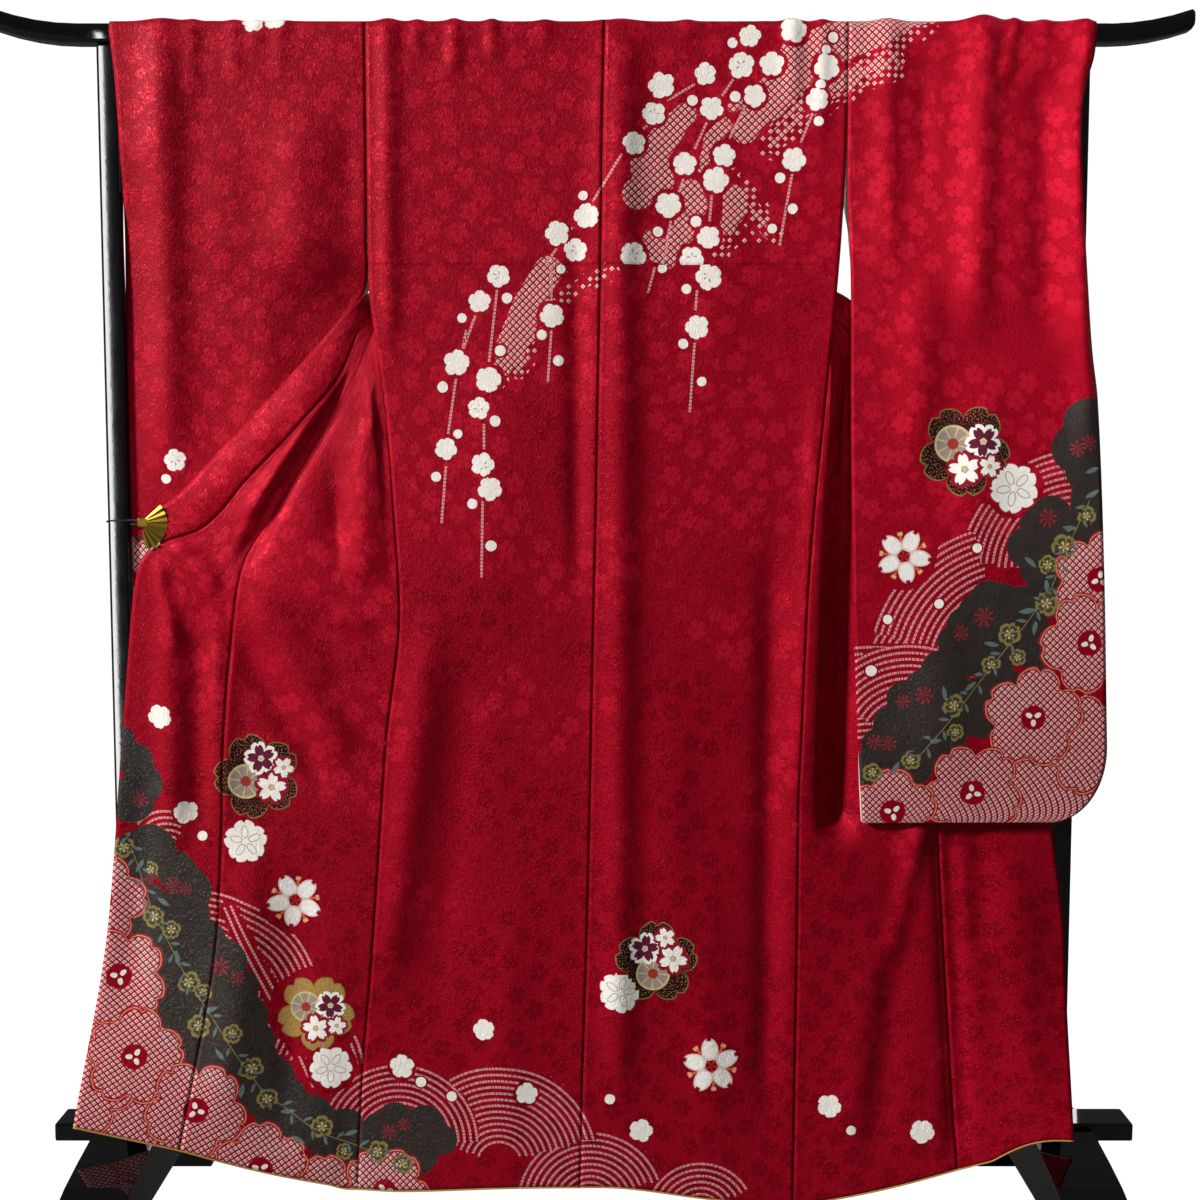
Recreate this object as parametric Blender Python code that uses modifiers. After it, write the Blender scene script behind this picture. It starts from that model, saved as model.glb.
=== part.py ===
# Furisode hung from a black lacquered kimono rack, seen from its back with both fronts folded out.
# Metres, +Z up. X runs along the rack's bar, and the garment's back faces -Y.
# The origin is on the floor, under the middle of the rack.

import math

import bmesh
import bpy
from mathutils import Vector

# Rack
BAR_TOP = 1.674
BAR_HEIGHT = 0.026
BAR_DEPTH = 0.036
BAR_CORNER = 0.009
BAR_HALF_LENGTH = 0.790
BAR_STRAIGHT_HALF = 0.680
BAR_END_RISE = 0.019
POST_CENTRE = 0.641
POST_SIDE = 0.028
POST_CORNER = 0.004
BEAM_TOP = 0.188
BEAM_HEIGHT = 0.025
BEAM_DEPTH = 0.056
BEAM_HALF_LENGTH = 0.745
BEAM_CORNER = 0.003
FOOT_CENTRE = 0.644
FOOT_WIDTH = 0.088
FOOT_ARCH_TOP = 0.098
FOOT_ARCH_HALF = 0.255
FOOT_ARCH_CORNER = 0.070

# Cloth
GAP = 0.0003
WALL = 0.002
COLLAR_WALL = 0.004
HEM_ROLL_RADIUS = 0.0013
TUCK_HEIGHT = 1.358
TUCK_STEP = 0.0015
TUCK_FADE = 0.070
CUFF_END = 1.457
SLEEVE_BOTTOM = 0.613
SLEEVE_CORNER_HEIGHT = 0.105
SLEEVE_CORNER_WIDTH = 0.080

# Clips and their elastic
CLIP_HEIGHT = 1.018
CLIP_REACH = 0.602
CLIP_SPINE = 0.0045
CLIP_JAW = 0.026
CLIP_PLATE = 0.0018
FAN_RIBS = 8
FAN_START = math.radians(-80.0)
FAN_END = math.radians(42.0)
FAN_RADIUS = 0.036
FAN_INNER = 0.009
FAN_NOTCH = 0.001
FAN_THICKNESS = 0.0022
FAN_PLEAT = 0.0009
CORD_RADIUS = 0.00125

# Mesh fineness
BODY_COLUMNS = (0.0, 0.016, 0.13, 0.25, 0.27, 0.42, 0.57, 0.72, 0.87, 0.984, 1.0)
NECK_COLUMN = 3
SLEEVE_COLUMNS = (0.0, 0.015, 0.13, 0.27, 0.41, 0.55, 0.69, 0.82, 0.93, 1.0)
UPPER_BACK_HEIGHTS = (1.660, 1.590, 1.520, 1.460, 1.405, 1.3585, 1.3565, 1.325, 1.275)
UPPER_ROWS = (0.08, 0.5, 1.0, 2.0, 3.0, 3.5, 4.0, 4.5, 5.0, 5.4, 5.75)
LOWER_ROWS = (6.2, 6.6, 7.0, 7.4, 7.8, 8.2, 8.6, 9.0, 9.5, 10.0, 10.5, 11.0, 11.5, 12.0,
              12.25, 12.5, 12.75, 13.0, 13.2, 13.4, 13.6, 13.8, 14.0)
SEAM_STRIP = 0.005
BACK_KNEE = 1.300
COLLAR_END_ROW = 10.5
RIGHT_HEM_SCOOP = 0.011
HEM_BOW = 0.005
OKUMI_TOP_ROW = 5.2

CLOTH_Y = BAR_DEPTH / 2 + GAP + WALL


def table(columns, *rows):
    names = columns.split()
    return {name: [row[i] for row in rows] for i, name in enumerate(names)}


# Outline of a foot from the post (half 0) to the toe.
FOOT_OUTLINE = table(
    "half    z",
    (0.036, 0.180),
    (0.065, 0.175),
    (0.110, 0.168),
    (0.160, 0.158),
    (0.205, 0.143),
    (0.245, 0.118),
    (0.278, 0.084),
    (0.300, 0.044),
    (0.310, 0.000),
)

# Back panels, a row for each height: the side seams, the centre back seam and how far each lies forward.
BACK = table(
    "z      left_x  mid_x   right_x left_y  mid_y   right_y",
    (1.660, -0.2990, 0.0150, 0.3340, -CLOTH_Y, -CLOTH_Y, -CLOTH_Y),
    (1.520, -0.2990, 0.0120, 0.3335, -0.0205, -0.0210, -0.0205),
    (1.430, -0.2990, 0.0110, 0.3300, -0.0207, -0.0220, -0.0207),
    (1.330, -0.2980, 0.0095, 0.3235, -0.0212, -0.0240, -0.0212),
    (1.253, -0.2890, 0.0080, 0.3165, -0.0220, -0.0250, -0.0220),
    (1.180, -0.2790, 0.0065, 0.3100, -0.0240, -0.0265, -0.0230),
    (1.028, -0.2660, 0.0040, 0.2955, -0.0330, -0.0280, -0.0250),
    (0.900, -0.2590, 0.0010, 0.2870, -0.0380, -0.0300, -0.0270),
    (0.720, -0.2790, -0.0025, 0.2810, -0.0360, -0.0310, -0.0280),
    (0.643, -0.2850, -0.0040, 0.2785, -0.0350, -0.0320, -0.0290),
    (0.431, -0.3010, -0.0090, 0.2780, -0.0340, -0.0350, -0.0320),
    (0.271, -0.3160, -0.0140, 0.2770, -0.0360, -0.0370, -0.0350),
    (0.075, -0.3270, -0.0195, 0.2750, -0.0390, -0.0400, -0.0385),
)

# Height of the hem along the two back panels.
BACK_HEM = table(
    "x       z",
    (-0.325, 0.101),
    (-0.268, 0.098),
    (-0.102, 0.103),
    (0.009, 0.104),
    (0.167, 0.086),
    (0.275, 0.077),
)

# The fronts, a row for each cross-section from the shoulder (0) to the hem (14).
# Each line is one edge or seam: the side, the okumi seam, the okumi's outer edge and the collar's fold.
LEFT_SIDE = table(
    "row   x        y        z",
    (0.0, -0.2990, CLOTH_Y, 1.660),
    (1.0, -0.2990, 0.0203, 1.550),
    (2.0, -0.2990, 0.0203, 1.440),
    (3.0, -0.2990, 0.0190, 1.370),
    (4.0, -0.2985, 0.0050, 1.325),
    (5.0, -0.2965, -0.0120, 1.285),
    (6.0, -0.2908, -0.0218, 1.240),
    (7.0, -0.2812, -0.0240, 1.180),
    (8.0, -0.2727, -0.0292, 1.100),
    (9.0, -0.2655, -0.0335, 1.020),
    (10.0, -0.2600, -0.0372, 0.930),
    (11.0, -0.2617, -0.0377, 0.860),
    (12.0, -0.2793, -0.0360, 0.720),
    (13.0, -0.3013, -0.0340, 0.430),
    (14.0, -0.3255, -0.0388, 0.101),
)
LEFT_SEAM = table(
    "row   x        y        z",
    (0.0, -0.0635, CLOTH_Y, 1.660),
    (1.0, -0.1300, 0.0215, 1.572),
    (2.0, -0.1900, 0.0215, 1.475),
    (3.0, -0.2320, 0.0205, 1.400),
    (4.0, -0.2620, 0.0195, 1.345),
    (5.0, -0.2850, 0.0120, 1.300),
    (6.0, -0.3010, -0.0060, 1.258),
    (7.0, -0.3300, -0.0190, 1.190),
    (8.0, -0.3740, -0.0270, 1.115),
    (9.0, -0.4240, -0.0320, 1.035),
    (10.0, -0.4660, -0.0350, 0.967),
    (11.0, -0.4800, -0.0370, 0.900),
    (12.0, -0.4960, -0.0370, 0.740),
    (13.0, -0.5100, -0.0400, 0.470),
    (14.0, -0.5613, -0.0680, 0.1685),
)
LEFT_EDGE = table(
    "row   x        y        z",
    (6.0, -0.3100, -0.0070, 1.284),
    (7.0, -0.3390, -0.0180, 1.212),
    (8.0, -0.3955, -0.0280, 1.142),
    (9.0, -0.4585, -0.0340, 1.076),
    (10.0, -0.5210, -0.0380, 1.010),
    (10.5, -0.5680, -0.0390, 0.985),
    (11.0, -0.5960, -0.0390, 0.963),
    (12.0, -0.6330, -0.0350, 0.745),
    (13.0, -0.6600, -0.0420, 0.470),
    (14.0, -0.6997, -0.0850, 0.208),
)
LEFT_COLLAR = table(
    "row   x        y        z",
    (0.0, -0.0300, 0.0240, 1.608),
    (1.0, -0.0860, 0.0240, 1.540),
    (2.0, -0.1460, 0.0270, 1.445),
    (3.0, -0.2020, 0.0500, 1.372),
    (4.0, -0.2500, 0.0680, 1.345),
    (5.0, -0.2890, 0.0420, 1.336),
    (6.0, -0.3190, -0.0100, 1.309),
    (7.0, -0.3760, -0.0180, 1.245),
    (8.0, -0.4340, -0.0260, 1.181),
    (9.0, -0.4970, -0.0330, 1.115),
    (10.0, -0.5610, -0.0390, 1.049),
    (10.5, -0.5920, -0.0400, 1.030),
)
RIGHT_SIDE = table(
    "row   x        y        z",
    (0.0, 0.3340, CLOTH_Y, 1.660),
    (1.0, 0.3340, 0.0203, 1.550),
    (2.0, 0.3330, 0.0203, 1.440),
    (3.0, 0.3290, 0.0190, 1.370),
    (4.0, 0.3260, 0.0050, 1.325),
    (5.0, 0.3222, -0.0120, 1.285),
    (6.0, 0.3182, -0.0218, 1.240),
    (7.0, 0.3125, -0.0230, 1.180),
    (8.0, 0.3033, -0.0240, 1.100),
    (9.0, 0.2953, -0.0252, 1.020),
    (10.0, 0.2893, -0.0265, 0.930),
    (11.0, 0.2862, -0.0273, 0.860),
    (12.0, 0.2813, -0.0280, 0.720),
    (13.0, 0.2783, -0.0320, 0.430),
    (14.0, 0.2753, -0.0385, 0.077),
)
RIGHT_SEAM = table(
    "row   x        y        z",
    (0.0, 0.0948, CLOTH_Y, 1.660),
    (1.0, 0.1600, 0.0215, 1.572),
    (2.0, 0.2180, 0.0215, 1.475),
    (3.0, 0.2590, 0.0205, 1.400),
    (4.0, 0.2880, 0.0195, 1.345),
    (5.0, 0.3110, 0.0120, 1.300),
    (6.0, 0.3280, -0.0030, 1.258),
    (7.0, 0.3560, -0.0110, 1.190),
    (8.0, 0.3960, -0.0130, 1.115),
    (9.0, 0.4320, -0.0140, 1.035),
    (10.0, 0.4480, -0.0150, 0.967),
    (11.0, 0.4550, -0.0160, 0.900),
    (12.0, 0.4620, -0.0210, 0.740),
    (13.0, 0.4800, -0.0330, 0.430),
    (14.0, 0.4988, -0.0500, 0.1338),
)
RIGHT_EDGE = table(
    "row   x        y        z",
    (6.0, 0.3370, -0.0030, 1.284),
    (7.0, 0.3660, -0.0110, 1.214),
    (8.0, 0.4190, -0.0140, 1.151),
    (9.0, 0.4820, -0.0160, 1.081),
    (10.0, 0.5360, -0.0180, 1.021),
    (10.5, 0.5740, -0.0190, 0.985),
    (11.0, 0.5970, -0.0195, 0.963),
    (12.0, 0.6060, -0.0195, 0.745),
    (13.0, 0.6440, -0.0310, 0.430),
    (14.0, 0.6475, -0.0800, 0.187),
)
RIGHT_COLLAR = table(
    "row   x        y        z",
    (0.0, 0.0600, 0.0240, 1.608),
    (1.0, 0.1160, 0.0240, 1.540),
    (2.0, 0.1740, 0.0270, 1.445),
    (3.0, 0.2290, 0.0500, 1.372),
    (4.0, 0.2760, 0.0680, 1.345),
    (5.0, 0.3150, 0.0420, 1.336),
    (6.0, 0.3470, -0.0040, 1.312),
    (7.0, 0.4020, -0.0100, 1.253),
    (8.0, 0.4600, -0.0140, 1.188),
    (9.0, 0.5230, -0.0170, 1.118),
    (10.0, 0.5770, -0.0190, 1.058),
    (10.5, 0.6000, -0.0195, 1.032),
)
NECK_MIDDLE_X = 0.015
NECK_SEAM_Z = 1.655
NECK_FOLD_Z = 1.600

# Sleeves, a row for each height. near faces the front of the picture, far is the layer behind it.
# in is the side at the body, out the side at the wrist.
LEFT_SLEEVE = table(
    "z      in_x    near_x  far_x   near_in  near_out far_in  far_out belly",
    (1.660, -0.2993, -0.6350, -0.6350, -CLOTH_Y, -CLOTH_Y, CLOTH_Y, CLOTH_Y, 0.0000),
    (1.600, -0.2993, -0.6290, -0.6290, -0.0203, -0.0203, 0.0203, 0.0203, 0.0010),
    (1.520, -0.2993, -0.6245, -0.6215, -0.0204, -0.0190, 0.0203, 0.0190, 0.0020),
    (1.457, -0.2993, -0.6215, -0.6215, -0.0204, -0.0120, 0.0203, 0.0110, 0.0030),
    (1.400, -0.3003, -0.6210, -0.6210, -0.0200, -0.0060, 0.0215, 0.0060, 0.0040),
    (1.365, -0.3030, -0.6210, -0.6210, -0.0120, -0.0050, 0.0240, 0.0050, 0.0050),
    (1.335, -0.3110, -0.6210, -0.6210, -0.0010, -0.0045, 0.0265, 0.0045, 0.0060),
    (1.305, -0.3250, -0.6210, -0.6210, 0.0030, -0.0040, 0.0280, 0.0040, 0.0060),
    (1.200, -0.3380, -0.6220, -0.6220, 0.0030, -0.0040, 0.0280, 0.0040, 0.0060),
    (1.090, -0.3390, -0.6240, -0.6240, 0.0030, -0.0040, 0.0280, 0.0040, 0.0060),
    (1.040, -0.3390, -0.6225, -0.6225, 0.0030, -0.0040, 0.0280, 0.0040, 0.0060),
    (1.010, -0.3395, -0.6225, -0.6225, 0.0030, -0.0040, 0.0280, 0.0040, 0.0060),
    (0.960, -0.3400, -0.6240, -0.6240, 0.0030, -0.0040, 0.0280, 0.0040, 0.0060),
    (0.780, -0.3420, -0.6240, -0.6240, 0.0030, -0.0040, 0.0270, 0.0040, 0.0060),
    (0.690, -0.3430, -0.6240, -0.6240, 0.0030, -0.0040, 0.0220, 0.0040, 0.0040),
    (0.613, -0.3440, -0.6240, -0.6240, 0.0030, -0.0030, 0.0110, 0.0050, 0.0000),
)
RIGHT_SLEEVE = table(
    "z      in_x    near_x  far_x   near_in  near_out far_in  far_out belly",
    (1.660, 0.3343, 0.6600, 0.6600, -CLOTH_Y, -CLOTH_Y, CLOTH_Y, CLOTH_Y, 0.0000),
    (1.630, 0.3343, 0.6570, 0.6560, -0.0208, -0.0208, 0.0203, 0.0203, 0.0010),
    (1.600, 0.3343, 0.6490, 0.6450, -0.0212, -0.0215, 0.0203, 0.0203, 0.0010),
    (1.565, 0.3343, 0.6430, 0.6200, -0.0215, -0.0225, 0.0203, 0.0160, 0.0010),
    (1.530, 0.3343, 0.6415, 0.6180, -0.0218, -0.0250, 0.0203, 0.0000, 0.0020),
    (1.495, 0.3343, 0.6415, 0.6200, -0.0222, -0.0290, 0.0195, -0.0190, 0.0020),
    (1.457, 0.3345, 0.6420, 0.6420, -0.0232, -0.0350, 0.0170, -0.0270, 0.0030),
    (1.400, 0.3365, 0.6460, 0.6460, -0.0320, -0.0355, 0.0020, -0.0275, 0.0050),
    (1.335, 0.3375, 0.6510, 0.6510, -0.0430, -0.0360, -0.0230, -0.0280, 0.0060),
    (1.246, 0.3385, 0.6590, 0.6590, -0.0480, -0.0360, -0.0265, -0.0280, 0.0080),
    (1.180, 0.3390, 0.6680, 0.6680, -0.0490, -0.0360, -0.0265, -0.0280, 0.0080),
    (0.915, 0.3450, 0.6840, 0.6840, -0.0510, -0.0370, -0.0290, -0.0285, 0.0080),
    (0.727, 0.3540, 0.6910, 0.6910, -0.0490, -0.0390, -0.0320, -0.0300, 0.0060),
    (0.613, 0.3620, 0.6960, 0.6960, -0.0430, -0.0400, -0.0345, -0.0320, 0.0000),
)

# The largest folds: a soft ridge (height above 0) or trough (below 0) along a line.
# tail is the share of the line, at each end, over which it dies away.
BACK_FOLDS = table(
    "x0      z0     x1      z1     width  height  tail",
    (0.012, 1.730, 0.008, 0.290, 0.022, 0.0050, 0.15),
    (-0.036, 1.440, -0.037, 0.960, 0.020, -0.0050, 0.35),
    (-0.180, 1.150, -0.218, 0.800, 0.030, 0.0060, 0.35),
    (-0.196, 0.870, -0.290, 0.340, 0.024, -0.0070, 0.30),
    (-0.250, 0.760, -0.300, 0.130, 0.030, 0.0040, 0.25),
    (0.285, 1.050, 0.270, 0.250, 0.022, 0.0050, 0.25),
    (0.215, 0.930, 0.226, 0.110, 0.034, -0.0070, 0.30),
    (0.055, 0.860, 0.058, 0.380, 0.022, -0.0035, 0.35),
    (0.130, 0.700, 0.150, 0.080, 0.034, 0.0045, 0.35),
    (-0.110, 0.520, -0.120, 0.080, 0.034, 0.0045, 0.35),
)
LEFT_FRONT_FOLDS = table(
    "x0      z0     x1      z1     width  height  tail",
    (-0.322, 1.190, -0.462, 0.935, 0.016, 0.0080, 0.20),
    (-0.320, 1.170, -0.360, 0.970, 0.026, -0.0100, 0.30),
    (-0.296, 1.215, -0.330, 0.925, 0.016, 0.0090, 0.20),
    (-0.335, 0.915, -0.262, 0.905, 0.020, 0.0080, 0.30),
    (-0.470, 0.915, -0.320, 0.690, 0.026, 0.0070, 0.30),
    (-0.490, 0.880, -0.350, 0.650, 0.020, -0.0080, 0.30),
    (-0.565, 0.985, -0.515, 0.750, 0.022, 0.0070, 0.25),
    (-0.585, 0.960, -0.545, 0.500, 0.022, -0.0080, 0.25),
    (-0.610, 0.900, -0.640, 0.300, 0.030, 0.0060, 0.30),
    (-0.470, 0.600, -0.520, 0.170, 0.034, 0.0060, 0.30),
    (-0.400, 0.560, -0.430, 0.130, 0.034, -0.0060, 0.30),
)
RIGHT_FRONT_FOLDS = table(
    "x0      z0     x1      z1     width  height  tail",
    (0.440, 0.640, 0.395, 0.130, 0.030, -0.0080, 0.20),
    (0.400, 0.560, 0.350, 0.120, 0.030, 0.0050, 0.30),
    (0.475, 0.640, 0.505, 0.130, 0.016, -0.0060, 0.15),
    (0.560, 0.620, 0.590, 0.200, 0.040, 0.0050, 0.30),
)
LEFT_SLEEVE_FOLDS = table(
    "x0      z0     x1      z1     width  height  tail",
    (-0.578, 1.680, -0.572, 1.100, 0.024, 0.0080, 0.20),
    (-0.512, 1.680, -0.510, 1.350, 0.018, 0.0045, 0.35),
    (-0.462, 1.690, -0.462, 1.500, 0.014, 0.0040, 0.35),
    (-0.340, 1.560, -0.338, 1.300, 0.024, -0.0060, 0.35),
    (-0.420, 1.420, -0.440, 1.050, 0.040, 0.0050, 0.35),
    (-0.600, 1.690, -0.598, 1.300, 0.012, -0.0040, 0.35),
)
RIGHT_SLEEVE_FOLDS = table(
    "x0      z0     x1      z1     width  height  tail",
    (0.466, 1.690, 0.482, 1.100, 0.022, 0.0090, 0.25),
    (0.396, 1.460, 0.406, 1.060, 0.036, 0.0060, 0.35),
    (0.640, 1.680, 0.640, 1.100, 0.026, 0.0080, 0.25),
    (0.545, 1.640, 0.555, 1.150, 0.034, -0.0090, 0.30),
    (0.432, 1.680, 0.436, 1.490, 0.012, -0.0040, 0.35),
    (0.515, 1.690, 0.520, 1.520, 0.014, 0.0040, 0.35),
    (0.500, 0.960, 0.520, 0.640, 0.050, 0.0040, 0.35),
)
FAR_LEFT_SLEEVE_FOLDS = table(
    "x0      z0     x1      z1     width  height  tail",
    (-0.560, 1.690, -0.555, 0.900, 0.030, 0.0070, 0.25),
    (-0.460, 1.690, -0.450, 0.800, 0.036, 0.0060, 0.30),
)
FAR_RIGHT_SLEEVE_FOLDS = table(
    "x0      z0     x1      z1     width  height  tail",
    (0.470, 1.690, 0.476, 1.480, 0.026, 0.0050, 0.30),
)
FAR_LEFT_FRONT_FOLDS = table(
    "x0      z0     x1      z1     width  height  tail",
    (-0.235, 1.690, -0.265, 1.450, 0.022, 0.0050, 0.30),
    (-0.140, 1.690, -0.200, 1.520, 0.018, 0.0040, 0.30),
)
FAR_RIGHT_FRONT_FOLDS = table(
    "x0      z0     x1      z1     width  height  tail",
    (0.265, 1.690, 0.290, 1.450, 0.022, 0.0050, 0.30),
    (0.170, 1.690, 0.225, 1.520, 0.018, 0.0040, 0.30),
)


# Reading the tables

def read(rows, key, value, name):
    # Smooth, monotone reading of one column. A key column may run up or down.
    keys = rows[key]
    values = rows[name]
    if keys[0] > keys[-1]:
        keys = keys[::-1]
        values = values[::-1]
    if value <= keys[0]:
        return values[0]
    if value >= keys[-1]:
        return values[-1]
    i = max(k for k in range(len(keys) - 1) if keys[k] <= value)
    span = keys[i + 1] - keys[i]
    t = (value - keys[i]) / span
    start = table_slope(keys, values, i) * span
    end = table_slope(keys, values, i + 1) * span
    return ((2 * t ** 3 - 3 * t ** 2 + 1) * values[i] + (t ** 3 - 2 * t ** 2 + t) * start
            + (3 * t ** 2 - 2 * t ** 3) * values[i + 1] + (t ** 3 - t ** 2) * end)


def table_slope(keys, values, i):
    if i == 0 or i == len(keys) - 1:
        j = min(i, len(keys) - 2)
        return (values[j + 1] - values[j]) / (keys[j + 1] - keys[j])
    before = (values[i] - values[i - 1]) / (keys[i] - keys[i - 1])
    after = (values[i + 1] - values[i]) / (keys[i + 1] - keys[i])
    if before * after <= 0:
        return 0.0
    return 2 * before * after / (before + after)


def place(rows, row):
    return Vector((read(rows, "row", row, "x"), read(rows, "row", row, "y"), read(rows, "row", row, "z")))


def smooth(t):
    t = min(max(t, 0.0), 1.0)
    return t * t * (3 - 2 * t)


def fold_height(folds, x, z):
    # Sum of the ridges and troughs at a place on the cloth.
    total = 0.0
    for i in range(len(folds["x0"])):
        start_x = folds["x0"][i]
        start_z = folds["z0"][i]
        run_x = folds["x1"][i] - start_x
        run_z = folds["z1"][i] - start_z
        length = math.hypot(run_x, run_z)
        along = ((x - start_x) * run_x + (z - start_z) * run_z) / length ** 2
        across = ((x - start_x) * run_z - (z - start_z) * run_x) / length
        tail = folds["tail"][i]
        fade = smooth(along / tail) * smooth((1 - along) / tail)
        total += folds["height"][i] * fade * math.exp(-(across / folds["width"][i]) ** 2)
    return total


def hang_fold(folds, x, z):
    # The same for cloth that hangs over the bar: no trough may press into the bar.
    height = fold_height(folds, x, z)
    if height < 0:
        height *= smooth((BAR_TOP - BAR_HEIGHT - 0.006 - z) / 0.05)
    return height


def over_bar_path():
    # Section of the cloth's outer face over the bar, from the near side to the far side,
    # as (y, z, outward y, outward z).
    radius = BAR_CORNER + GAP + WALL
    flat = BAR_DEPTH / 2 - BAR_CORNER
    centre_z = BAR_TOP - BAR_CORNER
    path = []
    for side in (-1, 1):
        for step in range(4):
            turn = math.radians(30.0 * step)
            angle = turn if side < 0 else math.radians(90.0) - turn
            out_y = side * math.cos(angle)
            out_z = math.sin(angle)
            path.append((side * flat + radius * out_y, centre_z + radius * out_z, out_y, out_z))
    return path


# Making objects

def new_material(name, colour, roughness, metallic):
    material = bpy.data.materials.new(name)
    material.use_nodes = True
    shader = material.node_tree.nodes["Principled BSDF"]
    shader.inputs["Base Color"].default_value = (*colour, 1.0)
    shader.inputs["Roughness"].default_value = roughness
    shader.inputs["Metallic"].default_value = metallic
    return material


def add_object(name, mesh, material, collection):
    thing = bpy.data.objects.new(name, mesh)
    thing.data.materials.append(material)
    collection.objects.link(thing)
    return thing


def mesh_from(name, points, faces):
    mesh = bpy.data.meshes.new(name)
    mesh.from_pydata([tuple(p) for p in points], [], faces)
    mesh.update()
    mesh.shade_smooth()
    mesh.set_sharp_from_angle(angle=math.radians(50.0))
    return mesh


def solidify(thing, thickness):
    wall = thing.modifiers.new("wall", "SOLIDIFY")
    wall.thickness = thickness
    wall.offset = -1.0
    wall.use_even_offset = False
    return thing


def cloth(name, rows, thickness, material, collection, flip=False):
    # rows is a grid of outer-face points, with None where there is no cloth.
    points = []
    index = {}
    for i, row in enumerate(rows):
        for j, point in enumerate(row):
            if point is not None:
                index[i, j] = len(points)
                points.append(point)
    faces = []
    for i, j in index:
        corners = [(i, j), (i + 1, j), (i + 1, j + 1), (i, j + 1)]
        if all(corner in index for corner in corners):
            face = [index[corner] for corner in corners]
            faces.append(face[::-1] if flip else face)
    thing = add_object(name, mesh_from(name, points, faces), material, collection)
    return solidify(thing, thickness)


def lerp(a, b, t):
    return a + (b - a) * t


# Body lengths and okumi

def side_seam(side, z):
    # The edge of the back panel along the side seam.
    name = "left" if side < 0 else "right"
    x = read(BACK, "z", z, name + "_x")
    y = read(BACK, "z", z, name + "_y") - hang_fold(BACK_FOLDS, x, z)
    return Vector((x, y - tuck_step(z), z))


def tuck_step(z):
    # The waist tuck makes a small ledge: the cloth above it lies a little further out.
    above = z - TUCK_HEIGHT
    if above < 0 or above > TUCK_FADE:
        return 0.0
    return TUCK_STEP * (1 - smooth(above / TUCK_FADE))


def back_heights(side):
    # Heights of the rows at the side seam. Below the sleeve they match the rows of the front.
    side_line = LEFT_SIDE if side < 0 else RIGHT_SIDE
    return list(UPPER_BACK_HEIGHTS) + [read(side_line, "row", row, "z") for row in LOWER_ROWS]


def back_row(side, height):
    # One row of the back panel, from the centre back seam to the side, at this height at the side.
    name = "left" if side < 0 else "right"
    hem_side_z = back_heights(side)[-1]
    drop = (BACK_KNEE - height) / (BACK_KNEE - hem_side_z)
    points = []
    for k, u in enumerate(BODY_COLUMNS):
        hem_x = lerp(BACK["mid_x"][-1], BACK[name + "_x"][-1], u)
        z = height
        if height < BACK_KNEE:
            z = lerp(BACK_KNEE, read(BACK_HEM, "x", hem_x, "z"), drop)
        if k == len(BODY_COLUMNS) - 1:
            z = height
        mid_x = read(BACK, "z", z, "mid_x") + side * GAP / 2
        side_x = read(BACK, "z", z, name + "_x")
        x = lerp(mid_x, side_x, u)
        fold_x = x
        if k <= 1:
            fold_x = read(BACK, "z", z, "mid_x")
        if k >= len(BODY_COLUMNS) - 2:
            fold_x = side_x
        share = 0.0 if k <= 1 else 1.0 if k >= len(BODY_COLUMNS) - 2 else smooth(u)
        y = lerp(read(BACK, "z", z, "mid_y"), read(BACK, "z", z, name + "_y"), share)
        y -= hang_fold(BACK_FOLDS, fold_x, z) + tuck_step(z)
        points.append(Vector((x, y, z)))
    return points


def front_lines(side, row):
    # Okumi seam, side seam and okumi edge of one row of a front, before the folds.
    seam = place(LEFT_SEAM if side < 0 else RIGHT_SEAM, row)
    edge = place(LEFT_SIDE if side < 0 else RIGHT_SIDE, row)
    sewn_edge = side_seam(side, edge.z)
    # While the front turns past the side seam, its wall keeps clear of the back panel's edge.
    sewn_edge.x += side * (GAP + 1.15 * WALL * abs(leaving_side(side, seam, edge, row).y))
    edge = edge.lerp(sewn_edge, smooth((row - 5.4) / 0.8))
    outer_line = LEFT_EDGE if side < 0 else RIGHT_EDGE
    first = LOWER_ROWS[0]
    if row >= first:
        outer = place(outer_line, row)
    else:
        tip = max(row - OKUMI_TOP_ROW, 0.0) / (first - OKUMI_TOP_ROW)
        tip_seam = place(LEFT_SEAM if side < 0 else RIGHT_SEAM, first)
        outer = seam + (place(outer_line, first) - tip_seam) * tip
    return seam, edge, outer


def leaving_side(side, seam, edge, row):
    # The way in which a front leaves the side seam: straight on from the back panel once it lies open.
    open_share = smooth((row - 6.0) / 0.6)
    turning = (seam - edge).normalized()
    return turning.lerp(Vector((side, 0.0, 0.0)), open_share).normalized()


def front_folds(side, point, row):
    # How far the folds push this place of a front forward.
    near_folds = LEFT_FRONT_FOLDS if side < 0 else RIGHT_FRONT_FOLDS
    far_folds = FAR_LEFT_FRONT_FOLDS if side < 0 else FAR_RIGHT_FRONT_FOLDS
    open_share = smooth((row - 6.0) / 1.5)
    far_share = 1 - smooth((row - 2.0) / 1.5)
    return (open_share * fold_height(near_folds, point.x, point.z)
            - far_share * hang_fold(far_folds, point.x, point.z))


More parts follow.
